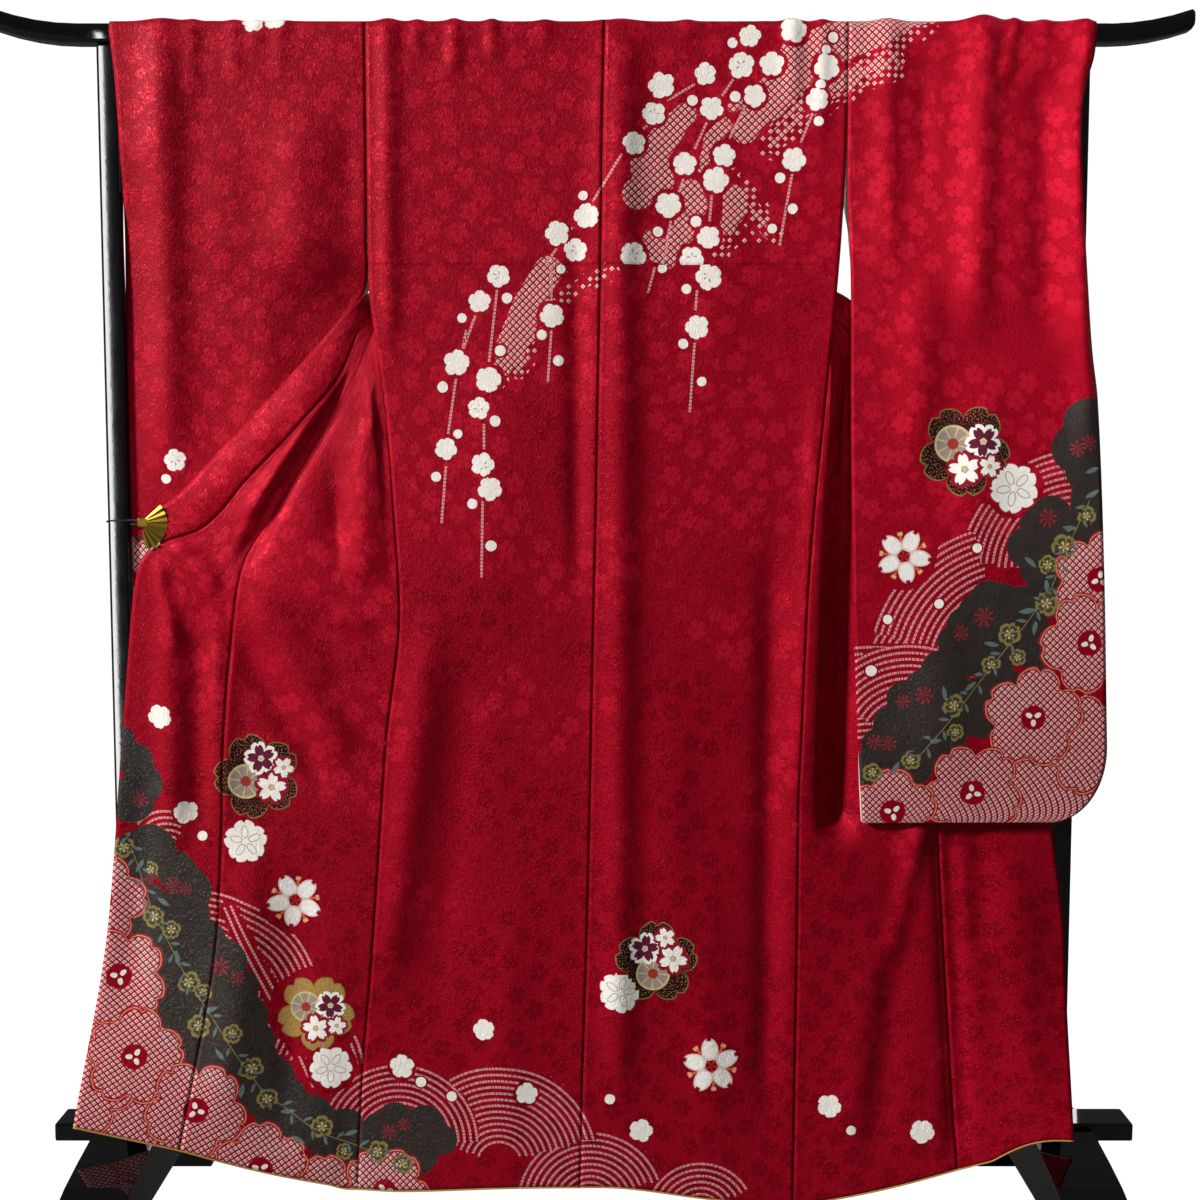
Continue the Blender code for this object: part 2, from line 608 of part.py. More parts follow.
def front_row(side, row):
    # One row of a front, from the okumi seam or neck to the side seam.
    seam, edge, outer = front_lines(side, row)
    towards_side = (edge - outer).normalized()
    leaving = leaving_side(side, seam, edge, row)
    width = (edge - seam).length
    strip = min(SEAM_STRIP, width * 0.1)
    shares = [(u - BODY_COLUMNS[NECK_COLUMN]) / (1 - BODY_COLUMNS[NECK_COLUMN])
              for u in BODY_COLUMNS[NECK_COLUMN:]]
    lift = front_folds(side, seam, row)
    points = [seam.copy(), seam + towards_side * strip]
    for point in points:
        point.y -= lift
    for u in shares[2:-2]:
        point = seam.lerp(edge, u)
        point.z -= HEM_BOW * smooth((row - 13.0)) * math.sin(math.pi * u)
        point.y -= seam_fade((1 - u) * width) * front_folds(side, point, row)
        points.append(point)
    return points + [edge + leaving * strip, edge]


def seam_fade(distance):
    # Folds die away near the side seam, where the back panel's edge runs straight.
    return smooth((distance - SEAM_STRIP) / 0.030)


def body(side, material, collection):
    name = "body_left" if side < 0 else "body_right"
    rows = [back_row(side, height) for height in reversed(back_heights(side))]
    top = rows[-1]
    far_folds = FAR_LEFT_FRONT_FOLDS if side < 0 else FAR_RIGHT_FRONT_FOLDS
    for y, z, out_y, out_z in over_bar_path():
        row = []
        for point in top:
            far = smooth((y / CLOTH_Y + 1) / 2)
            near_rise = -CLOTH_Y - point.y
            rise = max(lerp(near_rise, fold_height(far_folds, point.x, z), far), 0.0)
            row.append(Vector((point.x, y + out_y * rise, z + out_z * rise)))
        rows.append(row)
    for row_at in UPPER_ROWS + LOWER_ROWS:
        row = [None] * NECK_COLUMN
        if row_at == UPPER_ROWS[0]:
            row = [Vector((p.x, CLOTH_Y, NECK_SEAM_Z + GAP)) for p in top[:NECK_COLUMN]]
        rows.append(row + front_row(side, row_at))
    return cloth(name, rows, WALL, material, collection, flip=side > 0)


def okumi_row(side, row):
    # One row of an okumi, from its outer edge or the collar to the seam with the front.
    seam, edge, outer = front_lines(side, row)
    towards_side = (edge - outer).normalized()
    inward = (seam - outer).normalized()
    strip = min(SEAM_STRIP, (seam - outer).length * 0.25)
    seam_lift = front_folds(side, seam, row)
    outer_lift = front_folds(side, outer, row)
    points = [outer.copy(), outer + inward * strip]
    for point in points:
        point.y -= outer_lift
    at_hem = smooth((row - 13.3) / 0.7)
    for u in (0.35, 0.68):
        point = outer.lerp(seam, u)
        if side > 0:
            point.z += at_hem * RIGHT_HEM_SCOOP * math.sin(math.pi * min(u / 0.7, 1.0))
        point.y -= front_folds(side, point, row)
        points.append(point)
    for back in (GAP + strip, GAP):
        point = seam - towards_side * back
        point.y -= seam_lift
        points.append(point)
    return points


def okumi(side, material, collection):
    name = "okumi_left" if side < 0 else "okumi_right"
    rows = [okumi_row(side, row) for row in (UPPER_ROWS[-1],) + LOWER_ROWS]
    return cloth(name, rows, WALL, material, collection, flip=side > 0)


# Collar

def collar_row(side, row):
    # One section of the collar beside a row of a front, from its seam to its folded edge.
    seam, edge, outer = front_lines(side, row)
    below = front_lines(side, row + 0.05)[2]
    fold = place(LEFT_COLLAR if side < 0 else RIGHT_COLLAR, row)
    start = outer.copy()
    start.y -= front_folds(side, outer, row)
    along = (below - outer).normalized()
    if row > OKUMI_TOP_ROW:
        away = (outer - seam).normalized()
    else:
        away = fold - outer
    away = (away - along * away.dot(along)).normalized()
    # The collar is thicker than the front, so it stands off a little where it passes the bar.
    at_bar = smooth((start.z - 1.610) / 0.030)
    stand_off = Vector((0.0, (COLLAR_WALL - WALL) * at_bar, 0.0))
    start = start + away * GAP * 1.5 + stand_off
    strip = start + away * min(SEAM_STRIP, (fold - start).length * 0.2)
    return [start, strip, strip.lerp(fold, 0.5), fold]


def collar(material, collection):
    down = [row for row in UPPER_ROWS + LOWER_ROWS if row <= COLLAR_END_ROW]
    rows = [collar_row(-1, row) for row in reversed(down)]
    seam_y = CLOTH_Y + COLLAR_WALL - WALL
    for x in (-0.025, NECK_MIDDLE_X, 0.056):
        spread = abs(x - NECK_MIDDLE_X) / 0.085
        seam = Vector((x, seam_y, NECK_SEAM_Z - GAP))
        fold = Vector((lerp(x, NECK_MIDDLE_X, 0.40), seam_y + 0.003, NECK_FOLD_Z - 0.004 * spread ** 2))
        strip = seam + Vector((0.0, 0.0, -SEAM_STRIP))
        rows.append([seam, strip, strip.lerp(fold, 0.5), fold])
    rows += [collar_row(1, row) for row in down]
    return cloth("collar", rows, COLLAR_WALL, material, collection, flip=False)


# Sleeves

def sleeve_layer(side, near, u, z):
    rows = LEFT_SLEEVE if side < 0 else RIGHT_SLEEVE
    layer = "near" if near else "far"
    corner = max(SLEEVE_BOTTOM + SLEEVE_CORNER_HEIGHT - z, 0.0) / SLEEVE_CORNER_HEIGHT
    inset = SLEEVE_CORNER_WIDTH * (1 - math.sqrt(max(1 - corner ** 2, 0.0)))
    inner_x = read(rows, "z", z, "in_x")
    outer_x = read(rows, "z", z, layer + "_x") - side * inset
    x = lerp(inner_x, outer_x, u)
    share = 0.0 if u == SLEEVE_COLUMNS[1] else u
    y = lerp(read(rows, "z", z, layer + "_in"), read(rows, "z", z, layer + "_out"), share)
    belly = read(rows, "z", z, "belly") * math.sin(math.pi * share)
    if near:
        folds = LEFT_SLEEVE_FOLDS if side < 0 else RIGHT_SLEEVE_FOLDS
        y -= belly + edge_fade(u) * hang_fold(folds, x, z)
    else:
        folds = FAR_LEFT_SLEEVE_FOLDS if side < 0 else FAR_RIGHT_SLEEVE_FOLDS
        y += (belly if side < 0 else 0.0) + edge_fade(u) * hang_fold(folds, x, z)
    return Vector((x, y, z))


def edge_fade(u):
    return smooth((u - 0.02) / 0.08) * smooth((1 - u) / 0.06)


def sleeve_heights():
    upper = [1.660, 1.615, 1.570, 1.530, 1.495, CUFF_END, 1.415, 1.365, 1.335, 1.305]
    middle = [1.240, 1.170, 1.100, 1.045, 1.000, 0.940, 0.870, 0.790]
    bottom = SLEEVE_BOTTOM
    corner = [bottom + SLEEVE_CORNER_HEIGHT * (1 - math.sin(math.radians(a))) for a in (0, 30, 55, 74, 86)]
    return upper + middle + corner


def sleeve(side, material, collection):
    name = "sleeve_left" if side < 0 else "sleeve_right"
    columns = SLEEVE_COLUMNS
    heights = sleeve_heights()
    near = [[sleeve_layer(side, True, u, z) for u in columns] for z in heights]
    far = [[sleeve_layer(side, False, u, z) for u in columns] for z in heights]
    near_folds = LEFT_SLEEVE_FOLDS if side < 0 else RIGHT_SLEEVE_FOLDS
    far_folds = FAR_LEFT_SLEEVE_FOLDS if side < 0 else FAR_RIGHT_SLEEVE_FOLDS
    loop = near[::-1]
    for y, z, out_y, out_z in over_bar_path():
        share = smooth((y / CLOTH_Y + 1) / 2)
        row = []
        for u, point in zip(columns, near[0]):
            rise = lerp(fold_height(near_folds, point.x, z), fold_height(far_folds, point.x, z), share)
            rise = max(rise, 0.0) * edge_fade(u)
            row.append(Vector((point.x, y + out_y * rise, z + out_z * rise)))
        loop.append(row)
    loop += far
    points = [point for row in loop for point in row]
    width = len(columns)
    faces = []
    for i in range(len(loop) - 1):
        for j in range(width - 1):
            faces.append([i * width + j, (i + 1) * width + j, (i + 1) * width + j + 1, i * width + j + 1])
    near_last = len(heights) - 1
    far_first = len(loop) - len(heights)
    closed_from = heights.index(CUFF_END)
    # Bottom fold, between the lowest near row and the lowest far row.
    for j in range(width - 1):
        low = (len(loop) - 1) * width + j
        faces.append([low, j, j + 1, low + 1])
    # Wrist side, sewn shut below the cuff opening.
    for k in range(closed_from, len(heights) - 1):
        near_a = (near_last - k) * width + width - 1
        near_b = (near_last - k - 1) * width + width - 1
        far_a = (far_first + k) * width + width - 1
        far_b = (far_first + k + 1) * width + width - 1
        faces.append([near_a, far_a, far_b, near_b])
    if side > 0:
        faces = [face[::-1] for face in faces]
    thing = add_object(name, mesh_from(name, points, faces), material, collection)
    return solidify(thing, WALL)


# Hem roll

def tube(name, points, radius, sides, material, collection):
    curve = bpy.data.curves.new(name, "CURVE")
    curve.dimensions = "3D"
    curve.bevel_depth = radius
    curve.bevel_resolution = sides
    curve.use_fill_caps = True
    line = curve.splines.new("POLY")
    line.points.add(len(points) - 1)
    for spot, point in zip(line.points, points):
        spot.co = (*point, 1.0)
    thing = bpy.data.objects.new(name, curve)
    thing.data.materials.append(material)
    collection.objects.link(thing)
    return thing


def hem_edge(side, material, collection):
    name = "hem_edge_left" if side < 0 else "hem_edge_right"
    last = LOWER_ROWS[-1]
    line = okumi_row(side, last)[:-1] + front_row(side, last)[1:-1]
    line += back_row(side, back_heights(side)[-1])[::-1]
    drop = HEM_ROLL_RADIUS + 2 * GAP
    points = [Vector((p.x, p.y + WALL / 2, p.z - drop)) for p in line]
    return tube(name, points, HEM_ROLL_RADIUS, 1, material, collection)


# Rack

def bevel(thing, width, segments):
    edge = thing.modifiers.new("rounded edges", "BEVEL")
    edge.width = width
    edge.segments = segments
    edge.limit_method = "ANGLE"
    return thing


def bar(material, collection):
    # A rounded section carried along the bar, lifted towards both ends.
    section = []
    for side_y, side_z in ((1, 1), (-1, 1), (-1, -1), (1, -1)):
        for step in range(4):
            first = {(1, 1): 0, (-1, 1): 90, (-1, -1): 180, (1, -1): 270}[side_y, side_z]
            angle = math.radians(first + 30 * step)
            section.append((side_y * (BAR_DEPTH / 2 - BAR_CORNER) + BAR_CORNER * math.cos(angle),
                            side_z * (BAR_HEIGHT / 2 - BAR_CORNER) + BAR_CORNER * math.sin(angle)))
    ends = [BAR_STRAIGHT_HALF + (BAR_HALF_LENGTH - BAR_STRAIGHT_HALF) * i / 4 for i in range(5)]
    stations = [-x for x in reversed(ends)] + ends
    points = []
    for x in stations:
        share = max(abs(x) - BAR_STRAIGHT_HALF, 0.0) / (BAR_HALF_LENGTH - BAR_STRAIGHT_HALF)
        lift = BAR_END_RISE * share ** 2
        for y, z in section:
            points.append((x, y, BAR_TOP - BAR_HEIGHT / 2 + lift + z))
    count = len(section)
    faces = []
    for i in range(len(stations) - 1):
        for j in range(count):
            k = (j + 1) % count
            faces.append([i * count + j, (i + 1) * count + j, (i + 1) * count + k, i * count + k])
    faces.append(list(range(count)))
    faces.append([(len(stations) - 1) * count + j for j in reversed(range(count))])
    thing = add_object("bar", mesh_from("bar", points, faces), material, collection)
    recalculate(thing.data)
    return bevel(thing, 0.003, 1)


def recalculate(mesh):
    shape = bmesh.new()
    shape.from_mesh(mesh)
    bmesh.ops.recalc_face_normals(shape, faces=shape.faces)
    shape.to_mesh(mesh)
    shape.free()


def box(name, low, high, corner, material, collection):
    mesh = bpy.data.meshes.new(name)
    shape = bmesh.new()
    bmesh.ops.create_cube(shape, size=1.0)
    low = Vector(low)
    high = Vector(high)
    for vertex in shape.verts:
        for axis in range(3):
            vertex.co[axis] = low[axis] if vertex.co[axis] < 0 else high[axis]
    shape.to_mesh(mesh)
    shape.free()
    thing = add_object(name, mesh, material, collection)
    return bevel(thing, corner, 2)


def foot(side, material, collection):
    # Side outline of the arched foot, with a notch that the beam is let into.
    name = "foot_left" if side < 0 else "foot_right"
    slot_half = BEAM_DEPTH / 2 + GAP
    slot_floor = BEAM_TOP - BEAM_HEIGHT - GAP
    outline = [(slot_half, slot_floor), (slot_half, FOOT_OUTLINE["z"][0])]
    outline += list(zip(FOOT_OUTLINE["half"], FOOT_OUTLINE["z"]))
    inner = []
    for step in range(5):
        angle = math.radians(22.5 * step)
        inner.append((FOOT_ARCH_HALF - FOOT_ARCH_CORNER * (1 - math.cos(angle)),
                      FOOT_ARCH_TOP * math.sin(angle)))
    half = outline + inner
    profile = half + [(-y, z) for y, z in reversed(half)]
    points = []
    for edge in (-1, 1):
        for y, z in profile:
            points.append((side * FOOT_CENTRE + edge * FOOT_WIDTH / 2, y, z))
    count = len(profile)
    faces = []
    for j in range(count):
        k = (j + 1) % count
        faces.append([j, k, count + k, count + j])
    mesh = mesh_from(name, points, faces)
    shape = bmesh.new()
    shape.from_mesh(mesh)
    bmesh.ops.holes_fill(shape, edges=shape.edges, sides=0)
    bmesh.ops.recalc_face_normals(shape, faces=shape.faces)
    bmesh.ops.triangulate(shape, faces=[f for f in shape.faces if len(f.verts) > 4], ngon_method="EAR_CLIP")
    shape.to_mesh(mesh)
    shape.free()
    return bevel(add_object(name, mesh, material, collection), 0.003, 1)


def rack(material, collection):
    bar(material, collection)
    post_low = BEAM_TOP + GAP
    post_high = BAR_TOP - BAR_HEIGHT - GAP
    half = POST_SIDE / 2
    for side, name in ((-1, "post_left"), (1, "post_right")):
        centre = side * POST_CENTRE
        box(name, (centre - half, -half, post_low), (centre + half, half, post_high),
            POST_CORNER, material, collection)
        foot(side, material, collection)
    box("beam", (-BEAM_HALF_LENGTH, -BEAM_DEPTH / 2, BEAM_TOP - BEAM_HEIGHT),
        (BEAM_HALF_LENGTH, BEAM_DEPTH / 2, BEAM_TOP), BEAM_CORNER, material, collection)


# Fan clips

def fan(side, name, hub_x, back_y):
    # Pleated sector of a fan that opens from the hub towards the cloth.
    steps = FAN_RIBS * 2
    points = []
    for face in ("back", "front"):
        for radius in (FAN_INNER, FAN_RADIUS):
            for i in range(steps + 1):
                angle = lerp(FAN_START, FAN_END, i / steps)
                ridge = i % 2 == 1
                reach = radius if ridge or radius == FAN_INNER else radius - FAN_NOTCH
                y = back_y
                if face == "front":
                    y -= FAN_THICKNESS + (FAN_PLEAT if ridge else -FAN_PLEAT) * reach / FAN_RADIUS
                x = hub_x - side * reach * math.cos(angle)
                points.append((x, y, CLIP_HEIGHT + reach * math.sin(angle)))
    ring = steps + 1
    faces = []
    for i in range(steps):
        back_in = i
        back_out = ring + i
        front_in = 2 * ring + i
        front_out = 3 * ring + i
        faces.append([back_in, back_in + 1, back_out + 1, back_out])
        faces.append([front_in, front_out, front_out + 1, front_in + 1])
        faces.append([back_out, back_out + 1, front_out + 1, front_out])
        faces.append([back_in + 1, back_in, front_in, front_in + 1])
    faces.append([0, ring, 3 * ring, 2 * ring])
    last = ring - 1
    faces.append([last, 2 * ring + last, 3 * ring + last, ring + last])
    mesh = mesh_from(name, points, faces)
    recalculate(mesh)
    return mesh


def clip(side, material, collection, helpers):
    # The fan lies in front of the collar's end and a jaw behind it. A spine past the end joins them.
    name = "clip_left" if side < 0 else "clip_right"
    collar_end = place(LEFT_COLLAR if side < 0 else RIGHT_COLLAR, COLLAR_END_ROW)
    front_y = collar_end.y - 2 * GAP
    back_y = collar_end.y + COLLAR_WALL + 2 * GAP
    hub_x = side * CLIP_REACH
    spine_x = hub_x + side * CLIP_SPINE
    whole = add_object(name, fan(side, name, hub_x, front_y), material, collection)
    blocks = (
        ("bridge", hub_x - side * 1.3 * FAN_INNER, front_y - CLIP_PLATE, front_y - GAP / 2, 0.0050),
        ("spine", spine_x - side * CLIP_PLATE, front_y - CLIP_PLATE, back_y + CLIP_PLATE, 0.0050),
        ("jaw", hub_x - side * CLIP_JAW, back_y, back_y + CLIP_PLATE, 0.0060),
    )
    for part, far_x, near_y, far_y, half in blocks:
        low = (min(spine_x, far_x), near_y, CLIP_HEIGHT - half)
        high = (max(spine_x, far_x), far_y, CLIP_HEIGHT + half)
        helper = box(name + "_" + part, low, high, 0.0005, material, helpers)
        helper.hide_render = True
        helper.display_type = "WIRE"
        join = whole.modifiers.new("join " + part, "BOOLEAN")
        join.operation = "UNION"
        join.solver = "EXACT"
        join.object = helper
    return whole


def clip_cord(side, material, collection):
    # The elastic leaves the clip, goes once round the post and comes back to the clip.
    name = "clip_cord_left" if side < 0 else "clip_cord_right"
    fold = place(LEFT_COLLAR if side < 0 else RIGHT_COLLAR, COLLAR_END_ROW)
    start_y = fold.y + COLLAR_WALL / 2
    clear = CORD_RADIUS + GAP
    half = POST_SIDE / 2 + clear
    centre = side * POST_CENTRE
    inner_x = centre - side * half
    outer_x = centre + side * half
    tail_x = side * (CLIP_REACH + CLIP_SPINE + CORD_RADIUS + GAP)
    corner = POST_CORNER + clear
    route = [
        (tail_x, start_y, CLIP_HEIGHT + 0.0022),
        (lerp(tail_x, inner_x, 0.5), lerp(start_y, -half, 0.6), CLIP_HEIGHT + 0.0030),
    ]
    middles = (
        (inner_x, -half, 180.0, 270.0),
        (outer_x, -half, 270.0, 360.0),
        (outer_x, half, 0.0, 90.0),
        (inner_x, half, 90.0, 180.0),
    )
    for k, (x, y, first, last) in enumerate(middles):
        centre_x = x - math.copysign(corner, x - centre)
        centre_y = y - math.copysign(corner, y)
        steps = (60.0, 90.0) if k == 0 else (0.0, 30.0, 60.0, 90.0)
        for step in steps:
            angle = math.radians(first + step)
            out_x = math.cos(angle) * (1 if side > 0 else -1)
            height = CLIP_HEIGHT + 0.0034 - 0.0062 * (k * 90 + step) / 360
            route.append((centre_x + corner * out_x, centre_y + corner * math.sin(angle), height))
    route.append((inner_x, -half + corner, CLIP_HEIGHT - 0.0029))
    route.append((lerp(tail_x, inner_x, 0.5), lerp(start_y, -half, 0.6), CLIP_HEIGHT - 0.0027))
    route.append((tail_x, start_y, CLIP_HEIGHT - 0.0022))
    return tube(name, [Vector(p) for p in route], CORD_RADIUS, 1, material, collection)


# Assembly

def clear_scene():
    for thing in list(bpy.data.objects):
        bpy.data.objects.remove(thing, do_unlink=True)


def main():
    clear_scene()
    parts = bpy.data.collections.new("furisode_on_rack")
    helpers = bpy.data.collections.new("helpers")
    bpy.context.scene.collection.children.link(parts)
    bpy.context.scene.collection.children.link(helpers)
    crimson = new_material("crimson crepe silk", (0.43, 0.008, 0.022), 0.55, 0.0)
    gold_silk = new_material("gold lining silk", (0.58, 0.31, 0.045), 0.50, 0.0)
    lacquer = new_material("black lacquer", (0.004, 0.004, 0.005), 0.12, 0.0)
    brass = new_material("gilt metal", (0.60, 0.38, 0.08), 0.30, 1.0)
    elastic = new_material("black elastic", (0.006, 0.006, 0.007), 0.80, 0.0)
    rack(lacquer, parts)
    for side in (-1, 1):
        body(side, crimson, parts)
        okumi(side, crimson, parts)
        sleeve(side, crimson, parts)
        hem_edge(side, gold_silk, parts)
        clip(side, brass, parts, helpers)
        clip_cord(side, elastic, parts)
    collar(crimson, parts)


main()
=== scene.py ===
import math
from functools import partial
import bmesh
import bpy
import numpy as np
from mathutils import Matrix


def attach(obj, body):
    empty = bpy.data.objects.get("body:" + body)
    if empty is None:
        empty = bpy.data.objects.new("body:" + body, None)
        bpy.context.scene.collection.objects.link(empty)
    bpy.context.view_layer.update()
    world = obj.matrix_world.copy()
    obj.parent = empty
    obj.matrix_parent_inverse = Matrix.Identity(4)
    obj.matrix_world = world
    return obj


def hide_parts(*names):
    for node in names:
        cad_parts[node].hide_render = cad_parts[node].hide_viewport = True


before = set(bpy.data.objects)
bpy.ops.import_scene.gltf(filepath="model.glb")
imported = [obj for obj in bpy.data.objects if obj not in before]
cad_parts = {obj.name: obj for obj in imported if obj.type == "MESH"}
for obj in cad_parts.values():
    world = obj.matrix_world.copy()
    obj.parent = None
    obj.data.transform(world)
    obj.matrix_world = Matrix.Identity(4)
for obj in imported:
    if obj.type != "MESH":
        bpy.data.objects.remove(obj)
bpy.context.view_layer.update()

# Furisode hung from a lacquered kimono rack, seen from its back with both fronts folded out.
# Metres, +Z up. X runs along the bar and the garment's back faces -Y, as in the CAD frame.
# The charts are in millimetres. Motif places are charted on the hung cloth, as (x, z).


# Camera, light and floor

cameraSettings = {"place": (0.0085, -2.17, 1.09), "tilt": 4.7, "lens": 48.0, "sensor": 36.0}
lightSettings = {
    "backdrop": 1.05, "worldStrength": 0.09, "floorGlow": 1.0,
    "key": {"place": (-7.4, -4.35, 5.1), "aim": (0.0, 0.0, 1.05), "size": 1.3, "power": 1230.0},
    "fill": {"place": (0.2, -3.0, 2.9), "aim": (0.78, 0.0, 1.40), "size": 0.6, "power": 1.2, "spread": 18.0},
    "back": {"place": (0.6, 3.0, 2.4), "aim": (0.0, 0.0, 0.9), "size": 2.0, "power": 60.0},
    # Its image is the light line down the left post.
    "strip": {"place": (-1.506, -2.817, 1.2), "aim": (-0.650, -0.014, 1.2), "size": 0.02, "tall": 2.4,
              "power": 3.4},
    "low": {"place": (-1.3, -2.7, 1.5), "aim": (-0.45, 0.0, 1.02), "size": 0.3, "power": 0.12, "spread": 9.0,
            "glossy": False},
}
floorSettings = {"halfSide": 6.0, "below": 0.0006, "colours": ("#6B6A68", "#605F5D"), "grain": 40.0}
plainWhite = (1.0, 1.0, 1.0, 1.0)


def linear(hexColour):
    # Hex sRGB to the linear values that shaders work in.
    parts = [int(hexColour[i:i + 2], 16) / 255 for i in (1, 3, 5)]
    return [c / 12.92 if c <= 0.04045 else ((c + 0.055) / 1.055) ** 2.4 for c in parts] + [1.0]


def feed(tree, node, inputs):
    # Each input gets a number, a colour, or the output of an earlier node.
    for spot, value in inputs.items():
        if isinstance(value, bpy.types.NodeSocket):
            tree.links.new(value, node.inputs[spot])
        else:
            node.inputs[spot].default_value = value


def addNode(tree, kind, *inputs, output=0, **settings):
    # Adds a shader node. kind is its name, then its operation; inputs come in order or in a dictionary.
    name, _, operation = kind.partition(" ")
    made = tree.nodes.new("ShaderNode" + name)
    if operation:
        made.operation = operation
    for key, value in settings.items():
        setattr(made, key, value)
    feed(tree, made, inputs[0] if inputs and isinstance(inputs[0], dict) else dict(enumerate(inputs)))
    return made.outputs[output]


def newMaterial(name):
    # A material, what adds nodes to it, and what feeds its shader.
    material = bpy.data.materials.new(name)
    material.use_nodes = True
    tree = material.node_tree
    return material, partial(addNode, tree), partial(feed, tree, tree.nodes["Principled BSDF"])


def aimAt(place, aim):
    direction = [aim[i] - place[i] for i in range(3)]
    level = math.hypot(direction[0], direction[1])
    return (math.atan2(level, -direction[2]), 0.0, math.atan2(-direction[0], direction[1]))


def makeStudio():
    scene = bpy.context.scene
    bpy.ops.object.camera_add(location=cameraSettings["place"],
                              rotation=(math.radians(90.0 - cameraSettings["tilt"]), 0.0, 0.0))
    scene.camera = bpy.context.active_object
    scene.camera.data.lens = cameraSettings["lens"]
    scene.camera.data.sensor_width = cameraSettings["sensor"]
    for name in ("key", "fill", "back", "strip", "low"):
        lamp = lightSettings[name]
        bpy.ops.object.light_add(type="AREA", location=lamp["place"],
                                 rotation=aimAt(lamp["place"], lamp["aim"]))
        light = bpy.context.active_object
        light.name = name + "Light"
        light.data.shape = "RECTANGLE"
        light.data.size = lamp["size"]
        light.data.size_y = lamp.get("tall", lamp["size"])
        light.data.energy = lamp["power"]
        light.data.spread = math.radians(lamp.get("spread", 180.0))
        light.visible_glossy = lamp.get("glossy", True)
    scene.world = bpy.data.worlds.new("softStudio")
    scene.world.use_nodes = True
    # The backdrop is seen white, and lights the object less than it shows.
    sky = scene.world.node_tree
    strength = addNode(sky, "Mix", {0: addNode(sky, "LightPath"), 2: lightSettings["worldStrength"],
                                    3: lightSettings["backdrop"]})
    feed(sky, sky.nodes["Background"], {"Color": plainWhite, "Strength": strength})
    scene.view_settings.view_transform = "Standard"
    bpy.ops.mesh.primitive_plane_add(size=2 * floorSettings["halfSide"],
                                     location=(0.0, 0.0, -floorSettings["below"]))
    floor = bpy.context.active_object
    floor.name = "floor"
    bpy.ops.object.transform_apply(location=True)
    # Matt paper, faintly mottled. Seen white like the backdrop, without lighting the object
    paper, node, shade = newMaterial("matt white studio paper")
    grain = node("TexNoise", {"Vector": node("TexCoord", output="Object"), "Scale": floorSettings["grain"]})
    shade({"Base Color": node("MixRGB", grain, *[linear(c) for c in floorSettings["colours"]]),
           "Roughness": 0.9, "Emission Color": plainWhite,
           "Emission Strength": node("Math MULTIPLY", node("LightPath"), lightSettings["floorGlow"])})
    floor.data.materials.append(paper)
    print("studio ready")


makeStudio()


# Charts: places are read smoothly between their rows, without overshoot.

def chart(columns, *rows):
    # Columns of millimetres become metres; row and tail are plain numbers.
    return {name: (np.array([row[i] for row in rows]) / (1 if name in ("row", "tail") else 1000)).round(9)
            for i, name in enumerate(columns.split())}


def readChart(source, key, value, name):
    keys, values = source[key], source[name]
    if keys[0] > keys[-1]:
        keys, values = keys[::-1], values[::-1]
    value = np.clip(np.asarray(value, float), keys[0], keys[-1])
    i = np.clip(np.searchsorted(keys, value, side="right") - 1, 0, len(keys) - 2)
    span = np.diff(keys)
    rise = np.diff(values) / span
    slope = np.concatenate([rise[:1], np.zeros(len(keys) - 2), rise[-1:]])
    before, after = rise[:-1], rise[1:]
    same = before * after > 0
    slope[1:-1][same] = 2 * before[same] * after[same] / (before[same] + after[same])
    t = (value - keys[i]) / span[i]
    return ((2 * t ** 3 - 3 * t ** 2 + 1) * values[i] + (t ** 3 - 2 * t ** 2 + t) * slope[i] * span[i]
            + (3 * t ** 2 - 2 * t ** 3) * values[i + 1] + (t ** 3 - t ** 2) * slope[i + 1] * span[i])


def place(source, row):
    return np.stack([readChart(source, "row", row, axis) for axis in "xyz"], -1)


def smooth(t):
    t = np.clip(t, 0.0, 1.0)
    return t * t * (3 - 2 * t)


def lerp(a, b, t):
    return a + (b - a) * t


def unit(v):
    return v / np.linalg.norm(v, axis=-1, keepdims=True)


clothSettings = {
    "spacing": 0.0056,          # mesh fineness along the cloth
    "thickness": 0.0011,        # outer silk and lining together
    "collarThickness": 0.0030,
    "gap": 0.0003,
    "seamGap": 0.000005,
    "wall": 0.002,
    "seamStrip": 0.005,         # flat cloth beside a seam
    "shoulder": 1.660,          # where the cloth leaves the bar
    "backKnee": 1.300,          # the rows of the back turn with the hem below this height
    "tuckHeight": 1.358,
    "tuckStep": 0.0007,
    "tuckFade": 0.070,
    "sleeveBottom": 0.613,
    "cuffEnd": 1.457,
    "cornerHeight": 0.105,
    "cornerWidth": 0.080,
    "neckShare": 0.25,
    "neckHeight": 1.655,
    "neckLift": 0.002,          # the collar stands off there
    "hemScoop": 0.011,
    "hemBow": 0.005,
    "okumiTopRow": 5.2,
    "okumiFullRow": 6.2,
    "collarBulge": 0.0040,
    "edgeTuck": 0.0065,
    "furiStep": 0.0036,         # the far layer's open edge beside the body
    "foldsFrom": {-1: 0.014, 1: 0.030},     # how soon the front's folds start beside the side seam
    "troughFade": (0.006, 0.05),            # below the bar: where troughs start, and over what height
}
